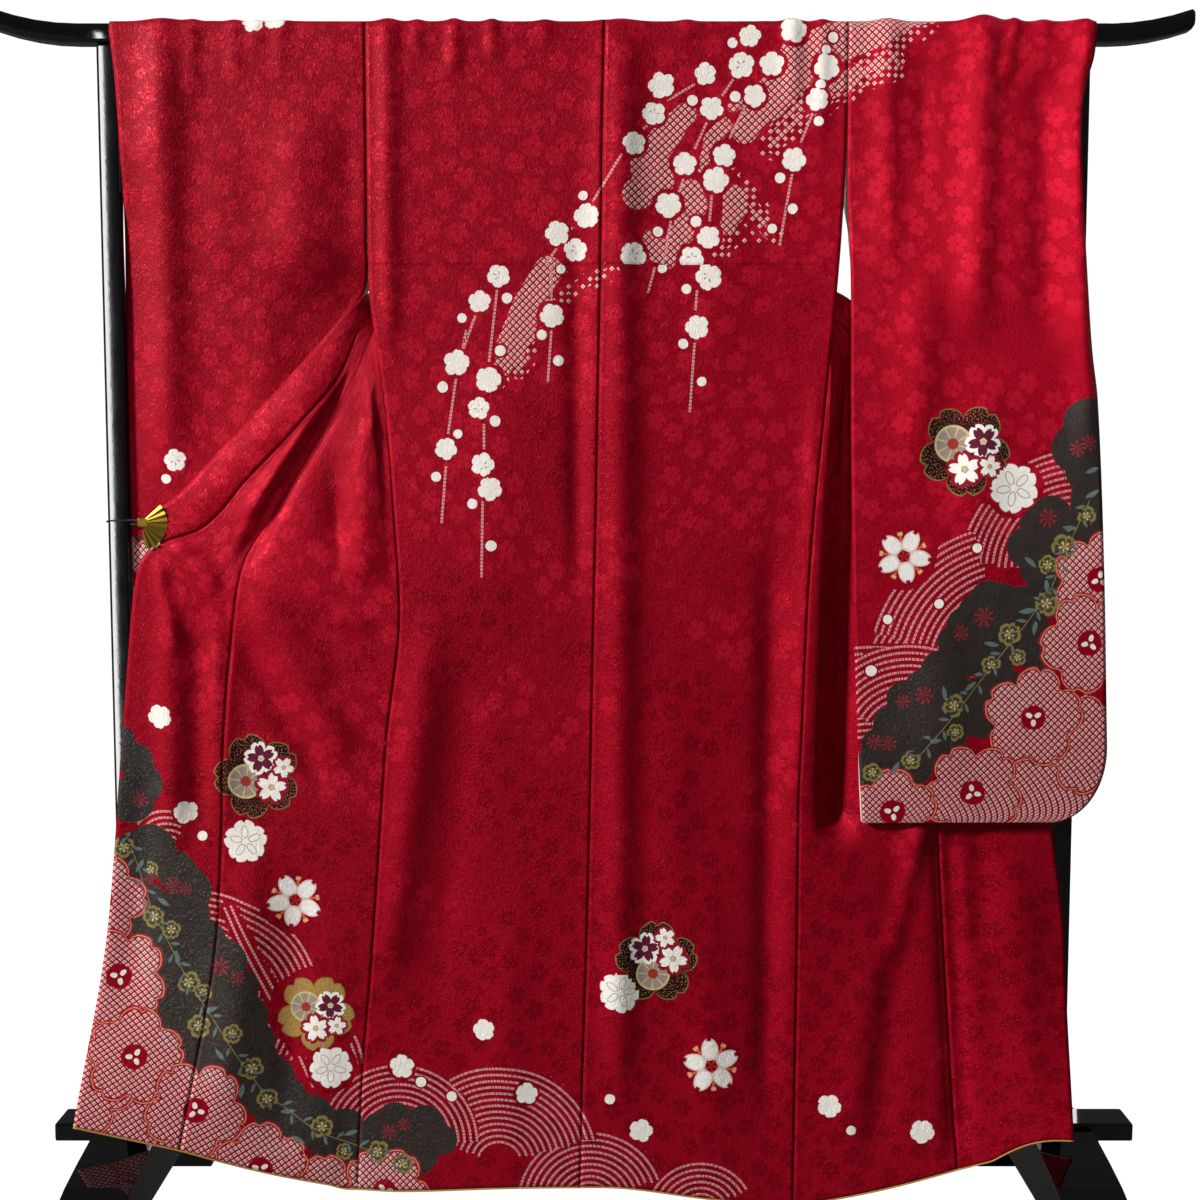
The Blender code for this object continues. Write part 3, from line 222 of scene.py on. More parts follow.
# Gradual changes: where each starts and over what span. The first ones go by the rows of the front.
changes = {
    "edgeTucks": (3.6, 1.0), "edgeUntucks": (5.5, 0.6), "edgeMeetsBack": (5.4, 0.7),
    "clothLevels": (6.0, 0.6), "nearFolds": (6.0, 1.5), "farFoldsEnd": (2.0, 1.5),
    "hemBow": (13.0, 1.0), "hemScoop": (13.3, 0.7), "collarBulge": (5.8, 1.0), "collarFlattens": (9.8, 0.8),
    # Heights
    "neckLift": (1.610, 0.030), "furiOpens": (0.62, 0.16),
    # Shares of a sleeve's width, from its seam and from its other edge
    "sleeveFolds": (0.02, 0.08), "sleeveEdge": (0.0, 0.035),
}
barSettings = {"top": 1.674, "height": 0.026, "depth": 0.036, "corner": 0.009}
gap = clothSettings["gap"]
clothY = barSettings["depth"] / 2 + gap + clothSettings["wall"]


def changed(value, name):
    start, span = changes[name]
    return smooth((value - start) / span)


# Back panels, a row for each height: the side seams, the centre back seam and how far each lies forward.
backChart = chart(
    "z left_x mid_x right_x left_y mid_y right_y",
    (1660, -299, 15, 334, -20.3, -20.3, -20.3), (1520, -299, 12, 333.5, -20.5, -21, -20.5),
    (1430, -299, 11, 330, -20.7, -22, -20.7), (1330, -298, 9.5, 323.5, -21.2, -24, -21.2),
    (1253, -289, 8, 316.5, -22, -25, -22), (1180, -279, 6.5, 310, -24, -26.5, -23),
    (1028, -266, 4, 295.5, -33, -28, -25), (900, -259, 1, 287, -38, -30, -27),
    (720, -279, -2.5, 281, -36, -31, -28), (643, -285, -4, 278.5, -35, -32, -29),
    (431, -301, -9, 278, -34, -35, -32), (271, -316, -14, 277, -36, -37, -35),
    (75, -327, -19.5, 275, -39, -40, -38.5),
)

# Height of the hem along the two back panels.
backHem = chart(
    "x z",
    (-325, 101), (-268, 98), (-102, 103), (9, 104), (167, 86), (275, 77),
)

cuts = {-1: {"name": "left"}, 1: {"name": "right"}}

# The fronts, a row for each cross-section from the shoulder (0) to the hem (14).
# Each line is one edge or seam: the side, the okumi seam, the okumi's outer edge and the collar's fold.
cuts[-1]["side"] = chart(
    "row x y z",
    (0, -299, 20.3, 1660), (1, -299, 20.3, 1550), (2, -299, 20.3, 1440), (3, -299, 19, 1370),
    (4, -298.5, 5, 1325), (5, -296.5, -12, 1285), (6, -290.8, -21.8, 1240), (7, -281.2, -24, 1180),
    (8, -272.7, -29.2, 1100), (9, -265.5, -33.5, 1020), (10, -260, -37.2, 930), (11, -261.7, -37.7, 860),
    (12, -279.3, -36, 720), (13, -301.3, -34, 430), (14, -325.5, -38.8, 101),
)
cuts[-1]["seam"] = chart(
    "row x y z",
    (0, -63.5, 20.3, 1660), (1, -130, 21.5, 1572), (2, -190, 21.5, 1475), (3, -232, 20.5, 1400),
    (4, -262, 19.5, 1345), (5, -285, 12, 1300), (6, -301, -6, 1258), (7, -330, -19, 1190),
    (8, -374, -27, 1115), (9, -424, -32, 1035), (10, -466, -35, 967), (11, -480, -37, 900),
    (12, -496, -37, 740), (13, -510, -40, 470), (14, -561.3, -68, 168.5),
)
cuts[-1]["edge"] = chart(
    "row x y z",
    (6, -310, -7, 1284), (7, -339, -18, 1212), (8, -395.5, -28, 1142), (9, -458.5, -34, 1076),
    (10, -521, -38, 1010), (10.5, -577, -39, 989), (11, -605, -39, 965), (12, -634.5, -35, 745),
    (13, -660, -42, 470), (14, -699.7, -85, 208),
)
cuts[-1]["collar"] = chart(
    "row x y z",
    (0, -30, 24, 1608), (1, -86, 24, 1540), (2, -146, 27, 1445), (3, -202, 50, 1372), (4, -250, 68, 1345),
    (5, -289, 42, 1336), (6, -319, -10, 1309), (7, -376, -18, 1245), (8, -434, -26, 1181),
    (9, -497, -33, 1115), (10, -561, -39, 1049), (10.5, -592, -40, 1030),
)
cuts[1]["side"] = chart(
    "row x y z",
    (0, 334, 20.3, 1660), (1, 334, 20.3, 1550), (2, 333, 20.3, 1440), (3, 329, 19, 1370),
    (4, 326, 5, 1325), (5, 322.2, -12, 1285), (6, 318.2, -21.8, 1240), (7, 312.5, -23, 1180),
    (8, 303.3, -24, 1100), (9, 295.3, -25.2, 1020), (10, 289.3, -26.5, 930), (11, 286.2, -27.3, 860),
    (12, 281.3, -28, 720), (13, 278.3, -32, 430), (14, 275.3, -38.5, 77),
)
cuts[1]["seam"] = chart(
    "row x y z",
    (0, 94.8, 20.3, 1660), (1, 160, 21.5, 1572), (2, 218, 21.5, 1475), (3, 259, 20.5, 1400),
    (4, 288, 19.5, 1345), (5, 311, 12, 1300), (6, 328, -3, 1258), (7, 356, -11, 1190), (8, 396, -13, 1115),
    (9, 432, -14, 1035), (10, 448, -15, 967), (11, 455, -16, 900), (12, 462, -21, 740),
    (13, 480, -33, 430), (14, 498.8, -50, 133.8),
)
cuts[1]["edge"] = chart(
    "row x y z",
    (6, 337, -3, 1284), (7, 366, -11, 1214), (8, 419, -14, 1151), (9, 482, -16, 1081),
    (10, 536, -18, 1021), (10.5, 574, -19, 985), (11, 597, -19.5, 963), (12, 606, -19.5, 745),
    (13, 644, -31, 430), (14, 647.5, -80, 187),
)
cuts[1]["collar"] = chart(
    "row x y z",
    (0, 60, 24, 1608), (1, 116, 24, 1540), (2, 174, 27, 1445), (3, 229, 50, 1372), (4, 276, 68, 1345),
    (5, 315, 42, 1336), (6, 347, -4, 1312), (7, 402, -10, 1253), (8, 460, -14, 1188), (9, 523, -17, 1118),
    (10, 577, -19, 1058), (10.5, 600, -19.5, 1032),
)

# Sleeves, a row for each height. near faces the front of the picture, far is the layer behind it.
# in is the side at the body, out the side at the wrist.
cuts[-1]["sleeve"] = chart(
    "z in_x near_x far_x near_in near_out far_in far_out belly",
    (1660, -299.3, -635, -635, -20.3, -20.3, 20.3, 20.3, 0),
    (1600, -299.3, -629, -629, -20.3, -20.3, 20.3, 20.3, 1),
    (1520, -299.3, -625.5, -623.5, -20.4, -19, 20.3, 19, 2),
    (1457, -299.3, -624, -624, -20.4, -12, 20.3, 11, 3),
    (1400, -300.3, -624.5, -624.5, -20, -6, 21.5, 6, 4), (1365, -300.5, -625, -625, -12, -5, 24, 5, 5),
    (1338, -302.5, -625.5, -625.5, -3, -4.5, 26.2, 4.5, 6),
    (1322, -309, -625.8, -625.8, 1, -4.2, 27.2, 4.2, 6), (1310, -319, -626, -626, 2.7, -4, 27.7, 4, 6),
    (1298, -327, -626.2, -626.2, 3, -4, 28, 4, 6), (1200, -338, -627, -627, 3, -4, 28, 4, 6),
    (1090, -339, -627.5, -627.5, 3, -4, 28, 4, 6), (1040, -339, -627, -627, 3, -4, 28, 4, 6),
    (1010, -339.5, -626.5, -626.5, 3, -4, 28, 4, 6), (960, -340, -625.5, -625.5, 3, -4, 28, 4, 6),
    (780, -342, -624, -624, 3, -4, 27, 4, 6), (690, -343, -624, -624, 3, -4, 22, 4, 4),
    (613, -344, -624, -624, 3, -3, 11, 5, 0),
)
cuts[1]["sleeve"] = chart(
    "z in_x near_x far_x near_in near_out far_in far_out belly",
    (1660, 334.3, 660, 660, -20.3, -20.3, 20.3, 20.3, 0),
    (1630, 334.3, 657, 656, -20.8, -20.8, 20.3, 20.3, 1),
    (1600, 334.3, 649, 645, -21.2, -21.5, 20.3, 20.3, 1),
    (1565, 334.3, 643, 620, -21.5, -22.5, 20.3, 16, 1), (1530, 334.3, 641.5, 618, -21.8, -25, 20.3, 0, 2),
    (1495, 334.3, 641.5, 620, -22.2, -29, 19.5, -19, 2), (1457, 334.5, 642, 642, -23.2, -35, 17, -27, 3),
    (1400, 336.5, 646, 646, -32, -35.5, 2, -27.5, 5), (1335, 337.5, 651, 651, -43, -36, -23, -28, 6),
    (1246, 338.5, 659, 659, -48, -36, -26.5, -28, 8), (1180, 339, 668, 668, -49, -36, -26.5, -28, 8),
    (915, 345, 684, 684, -51, -37, -29, -28.5, 8), (727, 354, 691, 691, -49, -39, -32, -30, 6),
    (613, 362, 696, 696, -43, -40, -34.5, -32, 0),
)

# The largest folds: a soft ridge (height above 0) or trough (below 0) along a line.
# tail is the share of the line, at each end, over which it dies away.
backFolds = chart(
    "x0 z0 x1 z1 width height tail",
    (32, 1740, 31, 160, 24, 10.5, 0.12), (-20, 1440, -19, 880, 13, -6, 0.3),
    (-274, 1730, -276, 1210, 14, 6, 0.2), (-212, 930, -298, 330, 27, 9.5, 0.25),
    (-165, 860, -225, 300, 30, -5, 0.3), (244, 1080, 240, 110, 20, -10, 0.25),
    (304, 1240, 280, 620, 12, 6, 0.2), (290, 1040, 272, 300, 24, 4, 0.25),
    (105, 860, 110, 280, 30, 4, 0.35), (160, 1560, 166, 1140, 36, 3.5, 0.35),
    (150, 620, 165, 80, 30, 5, 0.35), (-110, 560, -124, 80, 34, 5, 0.35),
    (-125, 1300, -135, 860, 40, 3, 0.35), (-262, 886, -185, 882, 4, 1.6, 0.35),
    (-182, 1730, -186, 1590, 10, 4.5, 0.25), (-136, 1730, -131, 1615, 9, 4, 0.25),
    (-232, 1730, -236, 1620, 9, 3, 0.25), (-60, 1730, -62, 1640, 12, 3, 0.25),
    (120, 1730, 121, 1640, 12, 3, 0.25), (262, 1730, 266, 1560, 12, 5, 0.25),
    (305, 1730, 303, 1500, 10, 3.5, 0.25),
)
cuts[-1]["front"] = chart(
    "x0 z0 x1 z1 width height tail",
    (-326, 1236, -474, 1002, 15, 10.5, 0.2), (-316, 1240, -476, 950, 11, -9.5, 0.15),
    (-345, 1120, -356, 960, 20, -5, 0.3), (-300, 1250, -297, 1120, 11, 8, 0.2),
    (-304, 1160, -308, 925, 24, 9.5, 0.18), (-346, 1070, -340, 935, 10, -4.5, 0.3),
    (-360, 900, -288, 878, 13, 5, 0.35), (-395, 1140, -430, 860, 75, 8.5, 0.3),
    (-474, 945, -318, 680, 22, 10.5, 0.25), (-492, 880, -352, 640, 18, -9, 0.25),
    (-430, 900, -345, 800, 14, 5, 0.3), (-575, 1000, -490, 925, 14, 8, 0.25),
    (-588, 985, -556, 840, 10, 6, 0.3), (-568, 940, -572, 560, 21, 7.5, 0.25),
    (-528, 920, -530, 560, 19, -5.5, 0.25), (-500, 900, -505, 600, 15, 6, 0.3),
    (-600, 760, -640, 300, 26, -6, 0.3), (-460, 620, -515, 170, 30, 8, 0.3),
    (-400, 580, -430, 130, 28, -7, 0.3),
)
cuts[1]["front"] = chart(
    "x0 z0 x1 z1 width height tail",
    (338, 1300, 334, 575, 24, -30, 0.07), (452, 640, 405, 400, 16, 9, 0.2),
    (432, 600, 385, 130, 24, -7, 0.2), (400, 500, 350, 120, 30, 5, 0.3),
    (477, 640, 505, 130, 14, -10, 0.15), (520, 640, 530, 420, 20, -6, 0.25),
    (570, 620, 600, 160, 34, 7, 0.3),
)
cuts[-1]["near"] = chart(
    "x0 z0 x1 z1 width height tail",
    (-566, 1740, -570, 1030, 26, 12.5, 0.22), (-526, 1730, -527, 1560, 10, 3, 0.25),
    (-474, 1730, -470, 1590, 10, 2.5, 0.25), (-440, 1730, -445, 1620, 9, 2, 0.25),
    (-409, 1730, -411, 1600, 10, 2.5, 0.25), (-490, 1560, -495, 1200, 34, 3.5, 0.3),
    (-312, 1580, -312, 1300, 20, -3.5, 0.3), (-384, 1590, -388, 1270, 40, 9, 0.3),
    (-430, 1420, -450, 1060, 34, 6, 0.3),
)
cuts[1]["near"] = chart(
    "x0 z0 x1 z1 width height tail",
    (514, 1740, 498, 1240, 23, 13.5, 0.2), (594, 1660, 598, 1230, 26, -12.5, 0.25),
    (648, 1740, 654, 1060, 20, 9, 0.2), (385, 1740, 388, 1320, 17, 7, 0.25),
    (430, 1360, 425, 1060, 28, 9.5, 0.3), (432, 1690, 436, 1460, 12, -4.5, 0.3),
    (566, 1740, 534, 1580, 8, 5, 0.25), (590, 1740, 592, 1640, 10, 3, 0.25),
    (520, 1240, 500, 960, 30, 7, 0.35), (450, 960, 470, 640, 40, 6, 0.35),
)
cuts[-1]["far"] = chart(
    "x0 z0 x1 z1 width height tail",
    (-560, 1690, -555, 900, 30, 8, 0.25), (-500, 1730, -505, 1500, 12, 4.5, 0.25),
    (-460, 1690, -450, 800, 36, 7, 0.3), (-390, 1730, -395, 1300, 14, 5, 0.25),
)
cuts[1]["far"] = chart(
    "x0 z0 x1 z1 width height tail",
    (470, 1690, 476, 1480, 26, 5, 0.3), (400, 1730, 405, 1560, 12, 4, 0.25),
    (594, 1660, 598, 1230, 26, 13, 0.25),
)
cuts[-1]["farFront"] = chart(
    "x0 z0 x1 z1 width height tail",
    (-235, 1690, -265, 1450, 22, 6, 0.3), (-140, 1690, -200, 1520, 18, 5, 0.3),
    (-190, 1730, -205, 1600, 10, 4, 0.25),
)
cuts[1]["farFront"] = chart(
    "x0 z0 x1 z1 width height tail",
    (265, 1690, 290, 1450, 22, 6, 0.3), (170, 1690, 225, 1520, 18, 5, 0.3),
    (220, 1730, 236, 1600, 10, 4, 0.25),
)


def foldHeight(folds, x, z):
    total = np.zeros(np.broadcast(x, z).shape)
    for x0, z0, x1, z1, width, height, tail in zip(*folds.values()):
        runX, runZ = x1 - x0, z1 - z0
        length = math.hypot(runX, runZ)
        along = ((x - x0) * runX + (z - z0) * runZ) / length ** 2
        across = ((x - x0) * runZ - (z - z0) * runX) / length
        fade = smooth(along / tail) * smooth((1 - along) / tail)
        total += height * fade * np.exp(-(across / width) ** 2)
    return total


def hangFold(folds, x, z):
    # Cloth over the bar can't be pressed into it, so troughs fade out there.
    height = foldHeight(folds, x, z)
    below, span = clothSettings["troughFade"]
    low = barSettings["top"] - barSettings["height"] - below
    return np.where(height < 0, height * smooth((low - z) / span), height)


def overBar(steps=7):
    # Section of the cloth over the bar, near side to far side: y, z, outward y, outward z.
    radius = barSettings["corner"] + gap + clothSettings["wall"]
    flat = barSettings["depth"] / 2 - barSettings["corner"]
    centre = barSettings["top"] - barSettings["corner"]
    turns = [math.pi / 2 * step / (steps - 1) for step in range(steps)]
    near = [(-flat - radius * math.cos(turn), centre + radius * math.sin(turn),
             -math.cos(turn), math.sin(turn)) for turn in turns]
    level = [(lerp(-flat, flat, share), centre + radius, 0.0, 1.0) for share in (0.25, 0.5, 0.75)]
    return near + level + [(-y, z, -outY, outZ) for y, z, outY, outZ in near[::-1]]


def clothOverBar(top, nearRise, farRise, fade=1.0):
    # The rows between a near and a far layer. Their folds go over into each other on the bar.
    rows = []
    for y, z, outY, outZ in overBar():
        part = smooth((y / clothY + 1) / 2)
        rise = np.maximum(lerp(nearRise(z), farRise(z), part), 0.0) * fade
        rows.append(np.stack([top[:, 0], y + outY * rise, z + outZ * rise], -1))
    return np.array(rows)


# Surfaces of the body, okumi, collar and sleeves

def tuckStep(z):
    above = z - clothSettings["tuckHeight"]
    inside = (above >= 0) & (above <= clothSettings["tuckFade"])
    return np.where(inside, clothSettings["tuckStep"] * (1 - smooth(above / clothSettings["tuckFade"])), 0.0)


def sideSeam(side, z):
    name = cuts[side]["name"]
    x = readChart(backChart, "z", z, name + "_x")
    y = readChart(backChart, "z", z, name + "_y") - hangFold(backFolds, x, z) - tuckStep(z)
    return np.stack([x, y, np.asarray(z, float)], -1)


def backGrid(side, heights, shares):
    name = cuts[side]["name"]
    u = shares[None, :]
    height = heights[:, None]
    knee = clothSettings["backKnee"]
    hemX = lerp(backChart["mid_x"][-1], backChart[name + "_x"][-1], u)
    hemZ = readChart(backHem, "x", hemX, "z")
    drop = (knee - height) / (knee - heights.min())
    z = np.where(height < knee, lerp(knee, hemZ, drop), height + 0 * u)
    midX = readChart(backChart, "z", z, "mid_x")
    sideX = readChart(backChart, "z", z, name + "_x")
    inner = np.clip((u - 0.016) / 0.968, 0.0, 1.0)
    y = lerp(readChart(backChart, "z", z, "mid_y"), readChart(backChart, "z", z, name + "_y"), smooth(inner))
    y = y - hangFold(backFolds, lerp(midX, sideX, inner), z) - tuckStep(z)
    return np.stack([lerp(midX + side * clothSettings["seamGap"], sideX, u), y, z], -1)


def frontLines(side, row):
    # The okumi seam, the side edge and the okumi's outer edge at these rows.
    cut = cuts[side]
    seam = place(cut["seam"], row)
    edge = place(cut["side"], row)
    sewn = sideSeam(side, edge[..., 2])
    leaving = leavingSide(side, seam, edge, row)
    turned = 0.3 * clothSettings["thickness"] * np.abs(leaving[..., 1])
    sewn[..., 0] += side * (clothSettings["seamGap"] + turned)
    tucked = changed(row, "edgeTucks") * (1 - changed(row, "edgeUntucks"))
    edge[..., 0] -= side * clothSettings["edgeTuck"] * tucked
    edge[..., 1] += 0.4 * clothSettings["edgeTuck"] * tucked
    edge = lerp(edge, sewn, changed(row, "edgeMeetsBack")[..., None])
    top, full = clothSettings["okumiTopRow"], clothSettings["okumiFullRow"]
    tip = (np.maximum(row - top, 0.0) / (full - top))[..., None]
    tipRun = place(cut["edge"], full) - place(cut["seam"], full)
    cutEdge = place(cut["edge"], np.maximum(row, full))
    return seam, edge, np.where((row >= full)[..., None], cutEdge, seam + tipRun * tip)


def leavingSide(side, seam, edge, row):
    # The way the cloth leaves the side seam.
    level = np.array([side, 0.0, 0.0])
    return unit(lerp(unit(seam - edge), level, changed(row, "clothLevels")[..., None]))


def frontFolds(side, point, row):
    x, z = point[..., 0], point[..., 2]
    return (changed(row, "nearFolds") * foldHeight(cuts[side]["front"], x, z)
            - (1 - changed(row, "farFoldsEnd")) * hangFold(cuts[side]["farFront"], x, z))


def frontGrid(side, rows, shares):
    # From the okumi seam (share 0) to the side seam (share 1).
    seam, edge, _ = frontLines(side, rows)
    leaving = leavingSide(side, seam, place(cuts[side]["side"], rows), rows)[:, None, :]
    width = np.linalg.norm(edge - seam, axis=-1)[:, None]
    strip = np.minimum(clothSettings["seamStrip"], width * 0.1)
    u = shares[None, :]
    row = rows[:, None]
    seam, edge = seam[:, None, :], edge[:, None, :]
    foldShare = np.clip((u * width - strip) / (width - strip), 0.0, 1.0)
    lift = frontFolds(side, lerp(seam, edge, foldShare[..., None]), row)
    lift = lift * smooth(((1 - u) * width - clothSettings["seamStrip"]) / clothSettings["foldsFrom"][side])
    grid = lerp(seam, edge, u[..., None])
    grid[..., 2] -= clothSettings["hemBow"] * changed(row, "hemBow") * np.sin(np.pi * u)
    # Beside the side seam the cloth goes on in the back's direction.
    levelFrom = 0.8267
    blend = smooth((u - levelFrom) / (1 - strip / width - levelFrom))[..., None]
    grid = lerp(grid, edge + leaving * ((1 - u) * width)[..., None], blend)
    grid[..., 1] -= lift
    return grid


def okumiGrid(side, rows, shares):
    # From the outer edge (share 0) to the seam with the front (share 1).
    seam, edge, outer = frontLines(side, rows)
    inner = seam - unit(edge - outer) * clothSettings["seamGap"]
    width = np.linalg.norm(inner - outer, axis=-1)[:, None]
    strip = np.minimum(clothSettings["seamStrip"], width * 0.25)
    v = shares[None, :]
    row = rows[:, None]
    foldShare = np.clip((v * width - strip) / (width - 2 * strip), 0.0, 1.0)
    lift = frontFolds(side, lerp(outer[:, None, :], seam[:, None, :], foldShare[..., None]), row)
    grid = lerp(outer[:, None, :], inner[:, None, :], v[..., None])
    if side > 0:
        scoop = clothSettings["hemScoop"] * np.sin(np.pi * np.minimum(v / 0.7, 1.0))
        grid[..., 2] += changed(row, "hemScoop") * scoop
    grid[..., 1] -= lift
    return grid


def collarGrid(side, rows, shares):
    # From the seam (share 0) to the folded edge (share 1).
    seam, _, outer = frontLines(side, rows)
    below = frontLines(side, rows + 0.05)[2]
    fold = place(cuts[side]["collar"], rows)
    start = outer.copy()
    start[..., 1] -= frontFolds(side, outer, rows)
    along = unit(below - outer)
    away = np.where((rows > clothSettings["okumiTopRow"])[:, None], unit(outer - seam + 1e-9), fold - outer)
    away = unit(away - along * np.sum(away * along, axis=-1, keepdims=True))
    start = start + away * clothSettings["seamGap"]
    start[..., 1] += clothSettings["neckLift"] * changed(start[..., 2], "neckLift")
    reach = np.linalg.norm(fold - start, axis=-1)[:, None, None]
    v = shares[None, :, None]
    leaving = start[:, None, :] + away[:, None, :] * reach * v
    grid = lerp(lerp(start[:, None, :], fold[:, None, :], v), leaving, (1 - v) ** 4)
    spread = changed(rows, "collarBulge") * (1 - changed(rows, "collarFlattens"))
    grid[..., 1] -= clothSettings["collarBulge"] * spread[:, None] * np.sin(np.pi * shares[None, :]) ** 1.5
    return grid


def sleeveLayer(side, layer, heights, shares):
    # layer is near, towards the picture's front, or far.
    rows = cuts[side]["sleeve"]
    z = heights[:, None] + 0 * shares[None, :]
    u = shares[None, :] + 0 * z
    corner = np.maximum(clothSettings["sleeveBottom"] + clothSettings["cornerHeight"] - z, 0.0)
    corner = corner / clothSettings["cornerHeight"]
    inset = clothSettings["cornerWidth"] * (1 - np.sqrt(np.maximum(1 - corner ** 2, 0.0)))
    innerX = readChart(rows, "z", z, "in_x")
    if side > 0 and layer == "far":
        closed = smooth((1.45 - z) / 0.05)
        innerX = innerX + clothSettings["furiStep"] * closed * changed(z, "furiOpens")
    x = lerp(innerX, readChart(rows, "z", z, layer + "_x") - side * inset, u)
    share = np.clip((u - 0.015) / 0.985, 0.0, 1.0)
    y = lerp(readChart(rows, "z", z, layer + "_in"), readChart(rows, "z", z, layer + "_out"), share)
    belly = readChart(rows, "z", z, "belly") * np.sin(np.pi * share)
    fold = edgeFade(u) * hangFold(cuts[side][layer], x, z)
    if layer == "near":
        return np.stack([x, y - belly - fold, z], -1)
    return np.stack([x, y + (belly if side < 0 else 0.0) + fold, z], -1)


def edgeFade(u):
    return changed(u, "sleeveFolds") * changed(1 - u, "sleeveEdge")


# Motif charts: x, z and radius. In the first three, a third number is the side of the tuck that the motif
# shows on, 1 above it and -1 below it.

motifPlaces = {
    "plum": (
        (89, 1592), (147, 1606), (234, 1619), (205, 1655), (262, 1662), (212, 1578), (155, 1562),
        (306, 1615), (294, 1573), (53, 1516), (120, 1490), (172, 1501), (161, 1469), (264, 1496),
        (99, 1437), (152, 1394), (-48, 1400), (-9, 1422), (-151, 1311), (-182, 1230), (-140, 1208),
        (-197, 1116), (-138, 1063), (-55, 1292), (137, 1277), (-150, 325), (-263, 273), (-92, 236),
        (65, 183), (323, 218), (450, 184), (-583, 758), (-551, 627), (-446, 1674), (-418, 1679),
    ),
    "stamened": (
        (79, 1555), (194, 1617), (-24, 1378), (-153, 1170), (-148, 1095), (52, 1370, 1), (130, 1367, 1),
        (-126, 1344, -1), (152, 1343, -1), (-563, 1101),
    ),
    "bud": (
        (182, 1646), (130, 1572), (186, 1577), (305, 1637), (296, 1545), (-14, 1449), (246, 1472),
        (263, 1432), (236, 1406), (85, 1402), (135, 1415), (91, 1354, -1), (-43, 1353, -1), (123, 1327),
        (-115, 1315), (-175, 1289), (-124, 1246), (-69, 1267), (-47, 1233), (-201, 1198), (-181, 1136),
        (-131, 1153), (-210, 1079), (-162, 1043), (-137, 987), (119, 1255), (144, 1205), (353, 185),
        (22, 228), (-237, 251), (-195, 231), (-530, 594), (-576, 1076), (391, 890), (458, 911),
        (370, 821), (508, 985), (298, 1592), (314, 1653),
    ),
    "cherry": (
        (411, 974, 37.5), (-406, 505, 38.9), (161, 275, 40.2),
    ),
    "shaded": (
        (556, 1064, 33.5), (-471, 587, 29.5), (36, 380, 29.5), (-360, 273, 29.5),
    ),
    "darkMedal": (
        (489, 1114, 61.6), (-454, 676, 59), (85, 419, 57.6),
    ),
    "goldMedal": (
        (-380, 349, 53.6),
    ),
    "goldFlower": (
        (656, 1027, 13.4), (626, 986, 17.4), (604, 962, 13.4), (603, 911, 17.4), (554, 870, 16.1),
        (566, 839, 12.1), (530, 829, 13.4), (480, 775, 16.1), (483, 739, 12.1), (425, 700, 13.4),
        (374, 683, 13.4), (-637, 578, 14.7), (-598, 483, 16.1), (-574, 466, 13.4), (-550, 394, 16.1),
        (-530, 381, 12.1), (-536, 335, 16.1), (-490, 325, 13.4), (-466, 276, 16.1), (-446, 232, 14.7),
        (-373, 190, 16.1), (-343, 154, 12.1), (-297, 153, 16.1), (-602, 547, 12.1), (-263, 136, 14.7),
    ),
    "star": (
        (641, 1116, 10.7), (656, 1124, 10.7), (603, 1024, 12.1), (519, 893, 13.4), (488, 872, 10.7),
        (440, 789, 12.1), (413, 780, 9.4), (376, 725, 10.7), (395, 723, 10.7), (-600, 536, 10.7),
        (-570, 526, 12.1), (-554, 522, 9.4), (-507, 416, 12.1), (-483, 401, 9.4), (-281, 181, 10.7),
        (-261, 191, 9.4), (-614, 643, 10.7),
    ),
}
# With its direction in degrees
leafPlaces = (
    (662, 1088, 10.7, 20), (663, 1056, 10.7, 30), (633, 1011, 10.7, -5), (580, 966, 10.7, -40),
    (603, 934, 10.7, 95), (578, 901, 12.1, 5), (588, 879, 10.7, 80), (530, 857, 10.7, -10),
    (502, 800, 10.7, 40), (467, 792, 10.7, 100), (455, 727, 10.7, 10), (405, 689, 10.7, 60),
    (-617, 552, 10.7, 60), (-584, 504, 10.7, -30), (-566, 427, 10.7, 100), (-521, 357, 10.7, 20),
    (-507, 297, 10.7, -50), (-479, 246, 10.7, 80), (-419, 212, 10.7, 0), (-334, 180, 10.7, 20),
    (-630, 603, 10.7, 90), (-405, 173, 10.7, -30),
)
